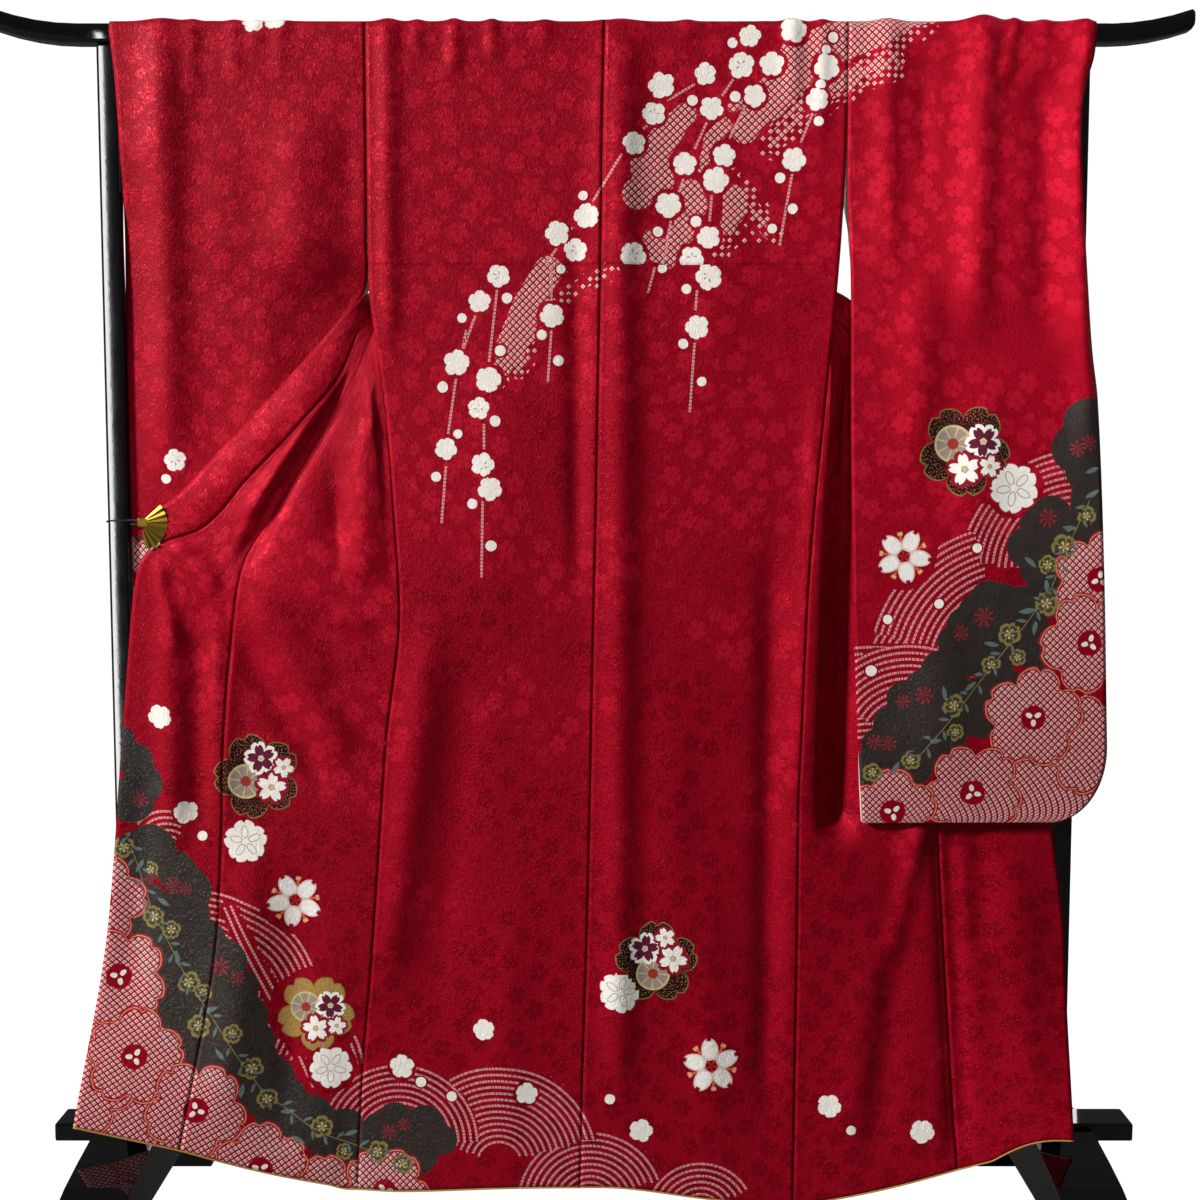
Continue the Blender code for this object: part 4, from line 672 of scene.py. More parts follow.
# The last number tells whether the blossom's centre shows.
bigBloomPlaces = (
    (403, 628, 59, 1), (510, 655, 67, 1), (589, 757, 67, 1), (664, 857, 67, 1), (676, 942, 64.3, 1),
    (668, 719, 67, 0), (609, 644, 67, 0), (690, 630, 67, 0), (-288, 97, 61.6, 1), (-456, 135, 64.3, 1),
    (-540, 221, 67, 1), (-622, 296, 64.3, 1), (-645, 402, 64.3, 1), (-670, 507, 61.6, 1),
    (-692, 368, 61.6, 0), (-687, 262, 67, 0), (-623, 199, 67, 0), (-535, 121, 67, 0), (-371, 85, 64.3, 0),
    (-682, 562, 40.2, 0),
)
charcoalPlaces = (
    (654, 1149, 33.5), (638, 1117, 32.2), (659, 1091, 34.8), (673, 1048, 40.2), (607, 1028, 26.8),
    (576, 986, 28.1), (594, 1012, 29.5), (615, 980, 37.5), (637, 991, 34.8), (589, 960, 24.1),
    (612, 927, 34.8), (524, 918, 24.1), (540, 904, 34.8), (504, 904, 18.8), (572, 905, 29.5),
    (490, 884, 21.4), (476, 861, 20.1), (497, 848, 34.8), (531, 854, 34.8), (571, 868, 40.2),
    (462, 823, 26.8), (445, 794, 32.2), (415, 784, 24.1), (472, 780, 40.2), (398, 750, 24.1),
    (385, 719, 26.8), (370, 688, 24.1), (446, 739, 40.2), (419, 712, 34.8), (654, 1008, 34.8),
    (622, 954, 20), (540, 815, 22), (600, 835, 25), (520, 790, 24), (480, 735, 20), (-558, 536, 26),
    (-551, 436, 24), (-461, 233, 22), (-516, 311, 26), (-600, 505, 22), (-618, 696, 24.1),
    (-605, 665, 24.1), (-626, 644, 32.2), (-600, 575, 34.8), (-621, 562, 37.5), (-567, 548, 26.8),
    (-547, 520, 29.5), (-555, 486, 34.8), (-589, 465, 45.6), (-528, 451, 29.5), (-502, 423, 32.2),
    (-482, 388, 26.8), (-516, 381, 45.6), (-551, 368, 53.6), (-476, 347, 32.2), (-462, 312, 26.8),
    (-477, 283, 45.6), (-443, 255, 34.8), (-416, 236, 21.4), (-386, 206, 29.5), (-417, 199, 45.6),
    (-342, 185, 29.5), (-349, 149, 40.2), (-296, 187, 21.4), (-273, 199, 24.1), (-232, 192, 26.8),
    (-209, 170, 21.4), (-253, 156, 40.2), (-308, 135, 34.8), (-637, 726, 18.8), (520, 760, 30),
    (560, 790, 30), (470, 715, 28), (430, 690, 25), (-535, 290, 30), (-560, 330, 30), (-590, 420, 30),
    (-440, 180, 28),
)
# Bars with round ends: two ends and a radius
denseSpots = (
    (121, 1554, 103, 1537, 14.7), (103, 1537, 74, 1496, 18.8), (74, 1487, 81, 1468, 25.5),
    (81, 1468, 58, 1450, 20.1), (171, 1540, 155, 1519, 10.7), (149, 1506, 144, 1483, 6.7),
    (129, 1455, 136, 1435, 14.7), (116, 1419, 122, 1395, 9.4), (186, 1448, 185, 1426, 14.7),
    (185, 1426, 177, 1408, 10.7), (440, 1692, 380, 1670, 14), (380, 1670, 270, 1628, 26),
    (276, 1622, 228, 1570, 25.5), (228, 1570, 199, 1532, 16.1), (109, 1400, 98, 1364, 10.7),
    (77, 1393, 81, 1374, 12.1), (-60, 1351, -84, 1312, 18.8), (-87, 1305, -111, 1246, 20.1),
    (-113, 1240, -120, 1225, 12.1), (-40, 1352, -62, 1346, 6), (183, 1563, 194, 1570, 6.7),
)
sparseSpots = (
    (430, 1672, 387, 1640, 26), (387, 1622, 290, 1577, 34.8), (290, 1577, 238, 1519, 29.5),
    (199, 1448, 232, 1400, 26.8), (186, 1487, 173, 1468, 16.1), (140, 1403, 167, 1374, 21.4),
    (-64, 1312, -98, 1220, 24.1), (30, 1352, -50, 1318, 18), (-30, 1322, -66, 1290, 16),
    (-124, 1220, -118, 1200, 18.8), (186, 1396, 160, 1377, 21.4),
)
# Lines from end to end
stringPlaces = (
    (133, 1593, 97, 1572), (71, 1540, 65, 1535), (37, 1501, -1, 1441), (184, 1600, 169, 1578),
    (201, 1568, 179, 1523), (149, 1544, 133, 1509), (119, 1472, 112, 1452), (156, 1450, 153, 1415),
    (102, 1416, 93, 1361), (81, 1355, 72, 1322), (289, 1558, 273, 1518), (262, 1478, 246, 1384),
    (-49, 1380, -63, 1359), (-56, 1359, -56, 1311), (-56, 1273, -61, 1204), (-128, 1326, -139, 1231),
    (-157, 1292, -173, 1249), (-183, 1210, -194, 1136), (-197, 1093, -203, 1017),
    (-146, 1149, -146, 1116), (-148, 1047, -150, 945), (137, 1325, 135, 1299), (134, 1256, 128, 1165),
    (-27, 1408, -36, 1400), (-169, 1273, -174, 1249), (-501, 497, -384, 245), (-492, 500, -375, 248),
)
stemPlaces = (
    (660, 1048, 632, 988), (632, 988, 607, 925), (607, 925, 573, 880), (573, 880, 527, 822),
    (527, 822, 481, 762), (481, 762, 431, 700), (-635, 601, -602, 497), (-602, 497, -553, 399),
    (-553, 399, -497, 315), (-497, 315, -449, 237), (-449, 237, -378, 183), (-378, 183, -268, 138),
)
# Arcs: centre, inner and outer radius, first and last angle
wavePlaces = (
    (421, 721, 40.2, 134, 40, 150), (561, 822, 45.6, 201, 108, 165), (645, 954, 34.8, 160.8, 60, 176),
    (372, 642, 80.4, 214.4, 60, 100), (466, 822, 26.8, 99.2, 60, 178), (-576, 573, 13.4, 59, 60, 180),
    (-540, 350, 86, 168, -28, 98), (-473, 251, 93.8, 160.8, 10, 90), (-268, 166, 24.1, 109.9, 0, 176),
    (-130, 138, 24.1, 134, 14, 160), (-5, 80, 24.1, 104.5, 20, 170), (147, 63, 21.4, 80.4, 30, 170),
)
motifNames = (*motifPlaces, "leaf", "bloomCentre")
motifSettings = {
    "radius": {"plum": 16.2, "stamened": 16.2, "bud": 7.4, "stemLeaf": 7.4, "bloomCentre": 17.0},
    "leafPitch": 15.0, "leafOff": 9.0, "leafLean": 0.95,    # small leaves along the stems
    "unseen": 400.0,            # a distance that stands for nothing near
    "offChart": 9000,
    "mirrorX": 40,              # hidden layers carry the near ones' motifs, mirrored
    "plainFront": (295, 560, 1300),     # behind the right sleeve: x from, z from, z to
}


# Chart places to attributes that the silk's material reads

def motifList():
    # Rows of x, z, size, kind, turn, clip. The kind is the place in motifNames, from 1.
    rows = []
    radius = motifSettings["radius"]
    for code, (name, places) in enumerate(motifPlaces.items(), 1):
        for n, (x, z, *more) in enumerate(places):
            if name in radius:
                size = radius[name] * (1 + 0.09 * math.sin(n * 2.4 + x))
                rows.append((x, z, size, code, n * 1.1, sum(more)))
            else:
                rows.append((x, z, more[0], code, 0.5 + n * 0.9, 0))
    leaf, centre = motifNames.index("leaf") + 1, motifNames.index("bloomCentre") + 1
    for x, z, size, turn in leafPlaces:
        rows.append((x, z, size, leaf, math.radians(turn), 0))
    for x0, z0, x1, z1 in stemPlaces:
        # Small leaves stand off the stems by turns
        count = int(math.hypot(x1 - x0, z1 - z0) / motifSettings["leafPitch"])
        for k in range(count):
            lean = math.atan2(z1 - z0, x1 - x0) + motifSettings["leafLean"] * (1 if k % 2 else -1)
            x = lerp(x0, x1, (k + 0.5) / count) + motifSettings["leafOff"] * math.cos(lean)
            z = lerp(z0, z1, (k + 0.5) / count) + motifSettings["leafOff"] * math.sin(lean)
            rows.append((x, z, radius["stemLeaf"], leaf, lean, 0))
    for x, z, size, centred in bigBloomPlaces:
        if centred:
            rows.append((x, z, radius["bloomCentre"], centre, 0.4 + x * 0.01, 0))
    return np.array(rows, float)


def nearestMotif(centres, corners):
    # For each face, the nearest motif's own frame: its corners' places there, and its kind.
    motifs = motifList()
    reach = motifs[:, 2] * np.where(motifs[:, 3] <= 3, 1.25, 1.45)
    away = np.hypot(centres[:, 0, None] - motifs[None, :, 0], centres[:, 1, None] - motifs[None, :, 1])
    above = centres[:, 1, None] > clothSettings["tuckHeight"] * 1000
    clip = motifs[None, :, 5]
    hidden = ((clip > 0) & ~above) | ((clip < 0) & above)
    ratio = np.where(hidden, motifSettings["unseen"], away / reach)
    best = np.argmin(ratio, axis=1)
    found = ratio[np.arange(len(best)), best] < 1.5
    chosen = motifs[best][:, None]
    dx = (corners[..., 0] - chosen[..., 0]) / chosen[..., 2]
    dz = (corners[..., 1] - chosen[..., 1]) / chosen[..., 2]
    cos, sin = np.cos(chosen[..., 4]), np.sin(chosen[..., 4])
    local = np.stack([dx * cos + dz * sin, dz * cos - dx * sin, chosen[..., 3] + 0 * dx], -1)
    local[~found] = (9.0, 9.0, 0.0)
    return local


def capsuleDistance(points, spots):
    # Signed distance to a group of round-ended bars, in millimetres.
    best = np.full(len(points), motifSettings["unseen"])
    for x0, z0, x1, z1, radius in spots:
        run = np.array([x1 - x0, z1 - z0], float)
        t = np.clip(((points - (x0, z0)) @ run) / max(run @ run, 1e-6), 0.0, 1.0)
        best = np.minimum(best, np.linalg.norm(points - (x0, z0) - t[:, None] * run, axis=1) - radius)
    return best


def bloomDistance(points, x, z, radius, turn):
    # Signed distance to a notched five-petalled outline.
    dx, dz = points[..., 0] - x, points[..., 1] - z
    part = np.mod((np.arctan2(dz, dx) + turn) * 5 / (2 * np.pi), 1.0)
    w = np.abs(part - 0.5) * 2
    outline = 0.66 + 0.36 * np.sqrt(np.maximum(1 - w ** 2, 0.0)) - 0.12 * np.maximum(1 - w / 0.17, 0.0)
    return np.hypot(dx, dz) - radius * outline


def bloomLines(points, centres, corners):
    # Signed distance to the outer edge of the whole group for the points, and at each face's corners
    # to the visible petal outline that is nearest to the face.
    union = np.full(len(points), motifSettings["unseen"])
    above = np.full(len(centres), motifSettings["unseen"])
    nearest = np.full(len(centres), 30.0)
    line = np.full(corners.shape[:2], motifSettings["unseen"])
    for n, (x, z, radius, _) in enumerate(bigBloomPlaces):
        bloom = (x, z, radius, 0.3 + n * 0.7)
        union = np.minimum(union, bloomDistance(points, *bloom))
        away = bloomDistance(centres, *bloom)
        here = (np.abs(away) < nearest) & (above > 0)
        nearest[here] = np.abs(away)[here]
        line[here] = bloomDistance(corners[here], *bloom)
        above = np.minimum(above, away)
    return union, line


def lineCorners(centres, corners):
    # Signed place across and along the nearest line, and its kind: 2 for waves, around their centre,
    # and 1 for strings or 3 for stems, plus half the length in metres.
    across, along = np.full((2, *corners.shape[:2]), 99.0)
    kind = np.zeros(corners.shape[:2])
    nearest = np.full(len(centres), 9.0)
    pitch = silkSettings["wavePitch"]
    for x, z, low, high, start, end in wavePlaces:
        low, high = round(low / pitch) * pitch, round(high / pitch) * pitch
        radius = np.hypot(centres[:, 0] - x, centres[:, 1] - z)
        angle = np.degrees(np.arctan2(centres[:, 1] - z, centres[:, 0] - x))
        inside = (radius > low) & (radius < high) & (angle > start) & (angle < end) & (kind[:, 0] == 0)
        dx, dz = corners[inside, :, 0] - x, corners[inside, :, 1] - z
        across[inside] = np.hypot(dx, dz)
        along[inside] = np.arctan2(dz, dx) * radius[inside, None]
        kind[inside] = 2.0
    for code, places in ((1, stringPlaces), (3, stemPlaces)):
        for x0, z0, x1, z1 in places:
            length = math.hypot(x1 - x0, z1 - z0)
            dirX, dirZ = (x1 - x0) / length, (z1 - z0) / length
            u = (centres[:, 0] - x0) * dirX + (centres[:, 1] - z0) * dirZ
            v = (centres[:, 0] - x0) * dirZ - (centres[:, 1] - z0) * dirX
            away = np.hypot(v, u - np.clip(u, 0, length))
            here = away < nearest
            nearest[here] = away[here]
            dx, dz = corners[here, :, 0] - x0, corners[here, :, 1] - z0
            across[here] = dx * dirZ - dz * dirX
            along[here] = dx * dirX + dz * dirZ - length / 2
            kind[here] = code + length / 2000
    return np.stack([across, along, kind], -1)


# Making the cloth pieces

def makeCloth(name, side, grid, weave, charted, seamAway, under, thickness=0.0, sewn=()):
    # weave is the place in the cloth (m), charted the place on the motif charts (mm), seamAway the distance
    # to the nearest seam or edge (mm), under the lining and sewn more faces. nan in the grid is no cloth.
    valid = ~np.isnan(grid[..., 0])
    number = np.full(valid.shape, -1)
    number[valid] = np.arange(valid.sum())
    quads = np.stack([number[:-1, :-1], number[1:, :-1], number[1:, 1:], number[:-1, 1:]], -1)
    quads = np.concatenate([quads[np.all(quads >= 0, axis=-1)], *sewn])
    if side > 0:
        quads = quads[:, ::-1]
    charted = charted[valid]
    if not name.startswith("sleeve"):
        x, low, high = motifSettings["plainFront"]
        plain = (charted[:, 0] > x) & (charted[:, 1] > low) & (charted[:, 1] < high)
        charted = charted + plain[:, None] * (motifSettings["offChart"], 0)
    mesh = bpy.data.meshes.new(name + "_cloth")
    mesh.from_pydata(grid[valid].tolist(), [], quads.tolist())
    loops = quads.ravel()
    uv = mesh.uv_layers.new(name="weave")
    uv.data.foreach_set("uv", weave[valid][loops].astype(np.float32).ravel())
    corners = charted[loops].reshape(-1, 4, 2)
    centres = corners.mean(axis=1)
    union, rims = bloomLines(charted, centres, corners)
    clouds = capsuleDistance(charted, [(x, z, x, z, r) for x, z, r in charcoalPlaces])
    dots = [capsuleDistance(charted, spots) for spots in (denseSpots, sparseSpots)]
    seamAway = np.broadcast_to(seamAway, valid.shape)[valid]
    for title, kind, domain, values in (
            ("motif", "VECTOR", "CORNER", nearestMotif(centres, corners)),
            ("lines", "VECTOR", "CORNER", lineCorners(centres, corners)),
            ("rims", "VALUE", "CORNER", rims),
            ("fields", "VECTOR", "POINT", np.stack([seamAway, union, clouds], -1)),
            ("spots", "VECTOR", "POINT", np.stack([*dots, 0 * clouds], -1))):
        layer = mesh.attributes.new(title, "FLOAT_VECTOR" if kind == "VECTOR" else "FLOAT", domain)
        layer.data.foreach_set(kind.lower(), values.astype(np.float32).ravel())
    for material in (silk, under, silk):
        mesh.materials.append(material)
    piece = bpy.data.objects.new(mesh.name, mesh)
    bpy.context.scene.collection.objects.link(piece)
    bpy.ops.object.select_all(action="DESELECT")
    piece.select_set(True)
    bpy.context.view_layer.objects.active = piece
    work = bmesh.new()
    work.from_mesh(mesh)
    bmesh.ops.remove_doubles(work, verts=work.verts, dist=0.00002)
    work.to_mesh(mesh)
    work.free()
    mesh.shade_smooth()
    wall = piece.modifiers.new("wall", "SOLIDIFY")
    wall.thickness = thickness or clothSettings["thickness"]
    wall.offset = -1.0
    wall.material_offset = 1
    wall.material_offset_rim = 2
    bpy.ops.object.modifier_apply(modifier=wall.name)
    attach(piece, "root")
    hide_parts(name)
    print(piece.name, len(piece.data.polygons), "faces")
    return piece


def stepsBetween(values, lengths):
    # Values between the given ones, as fine as the cloth's spacing asks for.
    fine = [values[0]]
    for a, b, length in zip(values[:-1], values[1:], lengths):
        count = max(1, int(math.ceil(length / clothSettings["spacing"])))
        fine += [lerp(a, b, (k + 1) / count) for k in range(count)]
    return np.array(fine)


def fineRows(side, *values):
    values = np.array(values, float)
    lengths = [np.linalg.norm(np.diff(line, axis=0), axis=1) for line in frontLines(side, values)[:2]]
    return stepsBetween(values, np.maximum(*lengths))


def fineShares(width):
    count = int(math.ceil(width / clothSettings["spacing"]))
    return np.linspace(0.0, 1.0, count + 1)


def pathLength(points):
    steps = np.linalg.norm(np.diff(points, axis=0), axis=-1)
    return np.concatenate([[0.0], np.cumsum(steps)])


def weavePlace(along, across, start=0.0):
    # Place in the weave, from the length along each row and the width across each column.
    return np.stack(np.broadcast_arrays(across[None, :], start + along[:, None]), -1)


# Materials

silkSettings = {
    # The bright flecks are painted highlights and the darkest red is painted shade, on the crepe's grain and
    # along seams.
    # The figures have two colours: a lighter one for painted sheen and a darker one for painted shade.
    "ground": "#920319", "figure": "#AC0F26", "figureDark": "#760110", "fleck": "#C41F38", "deep": "#74000F",
    "white": "#FFFCF3", "whiteShade": "#E6E4D6", "kanoko": "#F6D0CC", "dotCentre": "#8E0F20",
    "string": "#ECB0B0", "charcoal": "#221B1A", "charcoalLight": "#382D28", "gold": "#8A7C45",
    "goldPale": "#D3C389", "goldPetal": "#453C26", "outline": "#E28A70", "starRed": "#8C1526",
    "leaf": "#5F716C", "medalBlack": "#15100F", "medalGold": "#A98848", "plum": "#5B2038",
    "bead": "#9A9284", "stamen": "#D9683A", "anther": "#F0B184", "rosy": "#E3C3C0", "mark": "#77736C",
    "vein": "#A5A199", "hub": "#9A3A2C", "petalRim": "#8E1B2B",
    "sheen": "#F03048", "charcoalSheen": "#B9B5AE",
    "figureSpacing": 0.039,     # metres between woven figures
    "figureRadius": 0.0148,
    "kanokoPitch": 0.0067,      # tied dots, metres apart
    "stringPitch": 0.0048,
    "wavePitch": 8.6,           # millimetres between wave lines
    "dotWidth": 4.2,            # millimetres across a string's dot
    "crepeGrain": 0.0034,       # drawn coarser than the real 0.6 mm so that it shows
    # In a medallion, as shares of its radius: x, y, size, and a flower's petal, rim and turn
    "wheel": (-0.16, 0.24, 0.40),
    "smallFlowers": (
        (0.42, -0.02, 0.40, "plum", "white", 0.2), (-0.20, -0.36, 0.42, "white", "petalRim", 0.5),
        (0.30, -0.56, 0.30, "white", "petalRim", 0.8),
    ),
}
liningSettings = {"weft": (900.0, 900.0, 260.0), "shadow": "#8E7A55", "gold": "#B98A35", "body": "#E9E2D2",
                  "sleeve": "#EDE8DC", "goldBelow": 0.62}


def petals(node, x, y, count, notch, turn=0.0, rim=0.80):
    # Radius, share across a petal (0 at its middle, 1 between petals) and the outline's radius there.
    squares = [node("Math MULTIPLY", v, v) for v in (x, y)]
    radius = node("Math SQRT", node("Math ADD", *squares))
    part = node("Math MULTIPLY_ADD", node("Math ARCTAN2", y, x), count / (2 * math.pi), turn)
    half = node("Math ADD", node("Math FRACT", part), -0.5)
    w = node("Math MULTIPLY", node("Math ABSOLUTE", half), 2.0)
    curve = node("Math SQRT", node("Math SUBTRACT", 1.0, node("Math MULTIPLY", w, w)))
    outline = node("Math MULTIPLY_ADD", curve, 1.0 - rim, rim)
    if notch > 0:
        dip = node("Math MULTIPLY_ADD", w, -1 / 0.2, 1.0, use_clamp=True)
        outline = node("Math MULTIPLY_ADD", dip, -notch, outline)
    return radius, w, outline


def edgeMask(node, inner, outer, soft=0.04):
    # 1 where inner is less than outer, with a narrow soft edge.
    return node("Math MULTIPLY_ADD", node("Math SUBTRACT", outer, inner), 1 / soft, 0.5, use_clamp=True)


def overlap(node, mask, *others):
    # Where all the masks hold. A number among them makes the whole fainter.
    for other in others:
        mask = node("Math MULTIPLY", mask, other)
    return mask


def without(node, mask, hole):
    # The mask, less what the hole takes out of it.
    return overlap(node, mask, node("Math SUBTRACT", 1.0, hole))


def paint(node, colour, *layers):
    # Lays colours over what is already there, each where all of its masks hold.
    for tint, *masks in layers:
        if isinstance(tint, str):
            tint = linear(silkSettings.get(tint, tint))
        colour = node("MixRGB", overlap(node, *masks), colour, tint)
    return colour


def ovalMask(node, radius, w, count, middle, length, width):
    # An oval in each of the flower's petals, standing off from its centre.
    along = node("Math MULTIPLY_ADD", radius, 1 / length, -middle / length)
    across = overlap(node, w, radius, math.pi / count / width)
    reach = node("Math ADD", overlap(node, along, along), overlap(node, across, across))
    return edgeMask(node, reach, 1.0, 0.18)


def dotRing(node, x, y, outer, inner):
    # A tied dot: a small square ring, light, round a dark centre. x and y run from -0.5 to 0.5.
    reach = node("Math MAXIMUM", node("Math ABSOLUTE", x), node("Math ABSOLUTE", y))
    return edgeMask(node, reach, outer, 0.12), edgeMask(node, reach, inner, 0.10)


def cellPlace(node, value, pitch):
    # Place in a cell, from -0.5 to 0.5, and the cell's number.
    scaled = node("Math MULTIPLY", value, 1 / pitch)
    return node("Math ADD", node("Math FRACT", scaled), -0.5), node("Math FLOOR", scaled)


def shifted(node, x, y, shift):
    # Places in the frame of a part of a motif.
    centreX, centreY, size = shift
    return (node("Math MULTIPLY_ADD", x, 1 / size, -centreX / size),
            node("Math MULTIPLY_ADD", y, 1 / size, -centreY / size))


def makeSilk():
    # Figured crepe satin silk, dyed crimson: a satin ground with woven tonal figures, tie-dyed dots,
    # dyed and embroidered motifs. The satin gives broad soft highlights and the crepe a pebbled grain.
    s = silkSettings
    material, node, shade = newMaterial("crimson figured crepe satin silk, tie-dyed and embroidered")
    mask = partial(edgeMask, node)
    meet = partial(overlap, node)
    weave = node("UVMap", uv_map="weave")
    motif, lines, fields, spots = [node("Attribute", output=1, attribute_name=name)
                                   for name in ("motif", "lines", "fields", "spots")]

    # Woven figures: small blossoms in painted sheen and painted shade, lighter than the ground high up and
    # where a slow noise is high, darker low down
    leaning = node("VectorRotate", {"Vector": weave, "Angle": 0.62}, rotation_type="Z_AXIS")
    blossoms = []
    for spacing, size, rim in ((s["figureSpacing"], s["figureRadius"], 0.36),
                               (s["figureSpacing"] * 0.80, s["figureRadius"] * 0.62, 0.40)):
        cell = node("TexVoronoi", {"Vector": leaning, "Scale": 1 / spacing, "Randomness": 0.55},
                    voronoi_dimensions="2D").node.outputs
        away = node("VectorMath SUBTRACT", leaning, cell["Position"])
        away = node("VectorMath MULTIPLY", away, (1 / size,) * 3)
        x, y, _ = node("SeparateXYZ", away).node.outputs
        radius, w, outline = petals(node, x, y, 5, 0.14, node("SeparateColor", cell["Color"]), rim)
        blossoms.append((meet(mask(radius, outline, 0.16), mask(0.14, radius, 0.1)), radius))
    (large, largeRadius), (small, _) = blossoms
    figure = node("Math MAXIMUM", large, meet(small, mask(1.5, largeRadius, 0.1)))
    slow = node("TexNoise", {"Vector": weave, "Scale": 5.0, "Detail": 2.0})
    spotZ = node("SeparateXYZ", node("TexCoord", output="Object"), output=2)
    paintedSheenShare = node("Math MULTIPLY_ADD", slow, 6.0, -3.8)
    paintedSheenShare = node("Math MULTIPLY_ADD", spotZ, 1.7, paintedSheenShare, use_clamp=True)
    # Crepe grain: its wrinkle crests get painted highlights and its pebbles painted shade, over the bump.
    long = node("Mapping", {"Vector": weave, "Scale": (1 / s["crepeGrain"], 0.75 / s["crepeGrain"], 1.0)})
    grain = node("TexNoise", {"Vector": long, "Scale": 1.0, "Detail": 1.0, "Roughness": 0.5,
                              "Distortion": 1.0})
    wrinkle = node("Math ABSOLUTE", node("Math ADD", grain, -0.5))
    wrinkle = node("Math MULTIPLY_ADD", wrinkle, -16.0, 1.0, use_clamp=True)
    pebble = node("Math MULTIPLY_ADD", grain, 3.4, -1.25, use_clamp=True)
    pebble = meet(pebble, node("Math MULTIPLY_ADD", figure, -0.6, 1.0))
    paintedShadeShare = node("Math SUBTRACT", 1.0, paintedSheenShare)
    # The figures' lighter tone is painted sheen, their darker tone painted shade.
    colour = paint(node, linear(s["ground"]), ("figure", figure, paintedSheenShare),
                   ("figureDark", figure, paintedShadeShare), ("deep", pebble, 0.55), ("fleck", wrinkle, 0.34))

    across, along, lineKind = node("SeparateXYZ", lines).node.outputs
    seamAway, bloomAway, cloudAway = node("SeparateXYZ", fields).node.outputs
    denseAway, sparseAway, _ = node("SeparateXYZ", spots).node.outputs
    # Hand-drawn outlines: the motif's own frame is wobbled a little
    wobble = node("TexNoise", {"Vector": weave, "Scale": 62.0, "Detail": 1.0}, output=1)
    wobble = node("VectorMath SUBTRACT", wobble, (0.5, 0.5, 0.5))
    wobble = node("VectorMath MULTIPLY", wobble, (0.26, 0.26, 0.0))
    evenX, evenY, _ = node("SeparateXYZ", motif).node.outputs
    x, y, kind = node("SeparateXYZ", node("VectorMath ADD", motif, wobble)).node.outputs
    on = {name: node("Math COMPARE", kind, code, 0.4) for code, name in enumerate(motifNames, 1)}
    plumRadius, plumW, plumOutline = petals(node, x, y, 5, 0.05, 0.0, 0.72)

    # Tied dots on a lattice at 45 degrees
    turned = node("VectorRotate", {"Vector": weave, "Angle": math.radians(45.0)}, rotation_type="Z_AXIS")
    latticeX, latticeY, _ = node("SeparateXYZ", turned).node.outputs
    cellX, numberX = cellPlace(node, latticeX, s["kanokoPitch"])
    cellY, numberY = cellPlace(node, latticeY, s["kanokoPitch"])
    ring, hole = dotRing(node, cellX, cellY, 0.33, 0.12)
    chance = node("TexWhiteNoise", node("CombineXYZ", numberX, numberY, 0.0), noise_dimensions="2D")
    # Where the dots thin out, every other one goes first, then every other row
    thinning = node("Math MULTIPLY_ADD", sparseAway, -1 / 30.0, -0.12)
    sumParity = node("Math FLOORED_MODULO", node("Math ADD", numberX, numberY), 2.0)
    rowParity = node("Math FLOORED_MODULO", numberX, 2.0)
    order = node("Math MULTIPLY_ADD", chance, 0.30, node("Math MULTIPLY", rowParity, 0.24))
    order = node("Math MULTIPLY_ADD", sumParity, 0.46, order)
    dotted = node("Math MAXIMUM", mask(denseAway, 0.0, 1.5), node("Math LESS_THAN", order, thinning))
    dotted = without(node, dotted, meet(mask(plumRadius, 1.28, 0.02), node("Math LESS_THAN", kind, 3.4)))

    # Wave lines and strings: single rows of tied dots
    row = node("Math FLOOR", lineKind)
    isString, isWave, isStem = [node("Math COMPARE", row, code, 0.4) for code in (1, 2, 3)]
    waveAcross = node("Math MULTIPLY", cellPlace(node, across, s["wavePitch"])[0], s["wavePitch"])
    apart = node("Mix", {0: isWave, 2: across, 3: waveAcross})
    beadX = cellPlace(node, along, s["stringPitch"] * 1000)[0]
    beadRing, beadHole = dotRing(node, beadX, node("Math MULTIPLY", apart, 1 / s["dotWidth"]), 0.36, 0.13)
    halfLength = node("Math MULTIPLY", node("Math FRACT", lineKind), 1000.0)
    inside = mask(node("Math ABSOLUTE", along), halfLength, 1.0)
    beaded = node("Math MAXIMUM", isWave, meet(isString, inside))
    beaded = without(node, beaded, meet(mask(plumRadius, 1.2, 0.02), node("Math GREATER_THAN", kind, 0.5)))

    # Charcoal clouds with gold stems
    cloud = mask(cloudAway, 0.0, 1.2)
    stain = paint(node, linear(s["charcoal"]), ("charcoalLight", slow, 0.8))
    stem = meet(isStem, inside, mask(node("Math ABSOLUTE", apart), 0.55, 0.5))

    # Large blossoms filled with tied dots, each with a red band and a thin gold line
    bloomIn = mask(bloomAway, 3.6, 0.8)
    rim = node("Math ABSOLUTE", node("Attribute", output=2, attribute_name="rims"))
    centreOff = meet(on["bloomCentre"], mask(plumRadius, 1.0, 0.05))
    fill = without(node, meet(mask(bloomAway, 0.0, 0.8), mask(3.0, rim, 0.8)), centreOff)
    goldLine = without(node, meet(mask(rim, 0.95, 0.6), bloomIn), centreOff)
    colour = paint(node, colour, ("kanoko", dotted, ring), ("dotCentre", dotted, hole),
                   ("string", beaded, beadRing), ("dotCentre", beaded, beadHole, 0.9),
                   (stain, cloud), ("gold", stem, cloud), ("ground", bloomIn), ("kanoko", fill, ring),
                   ("dotCentre", fill, hole), ("outline", goldLine))

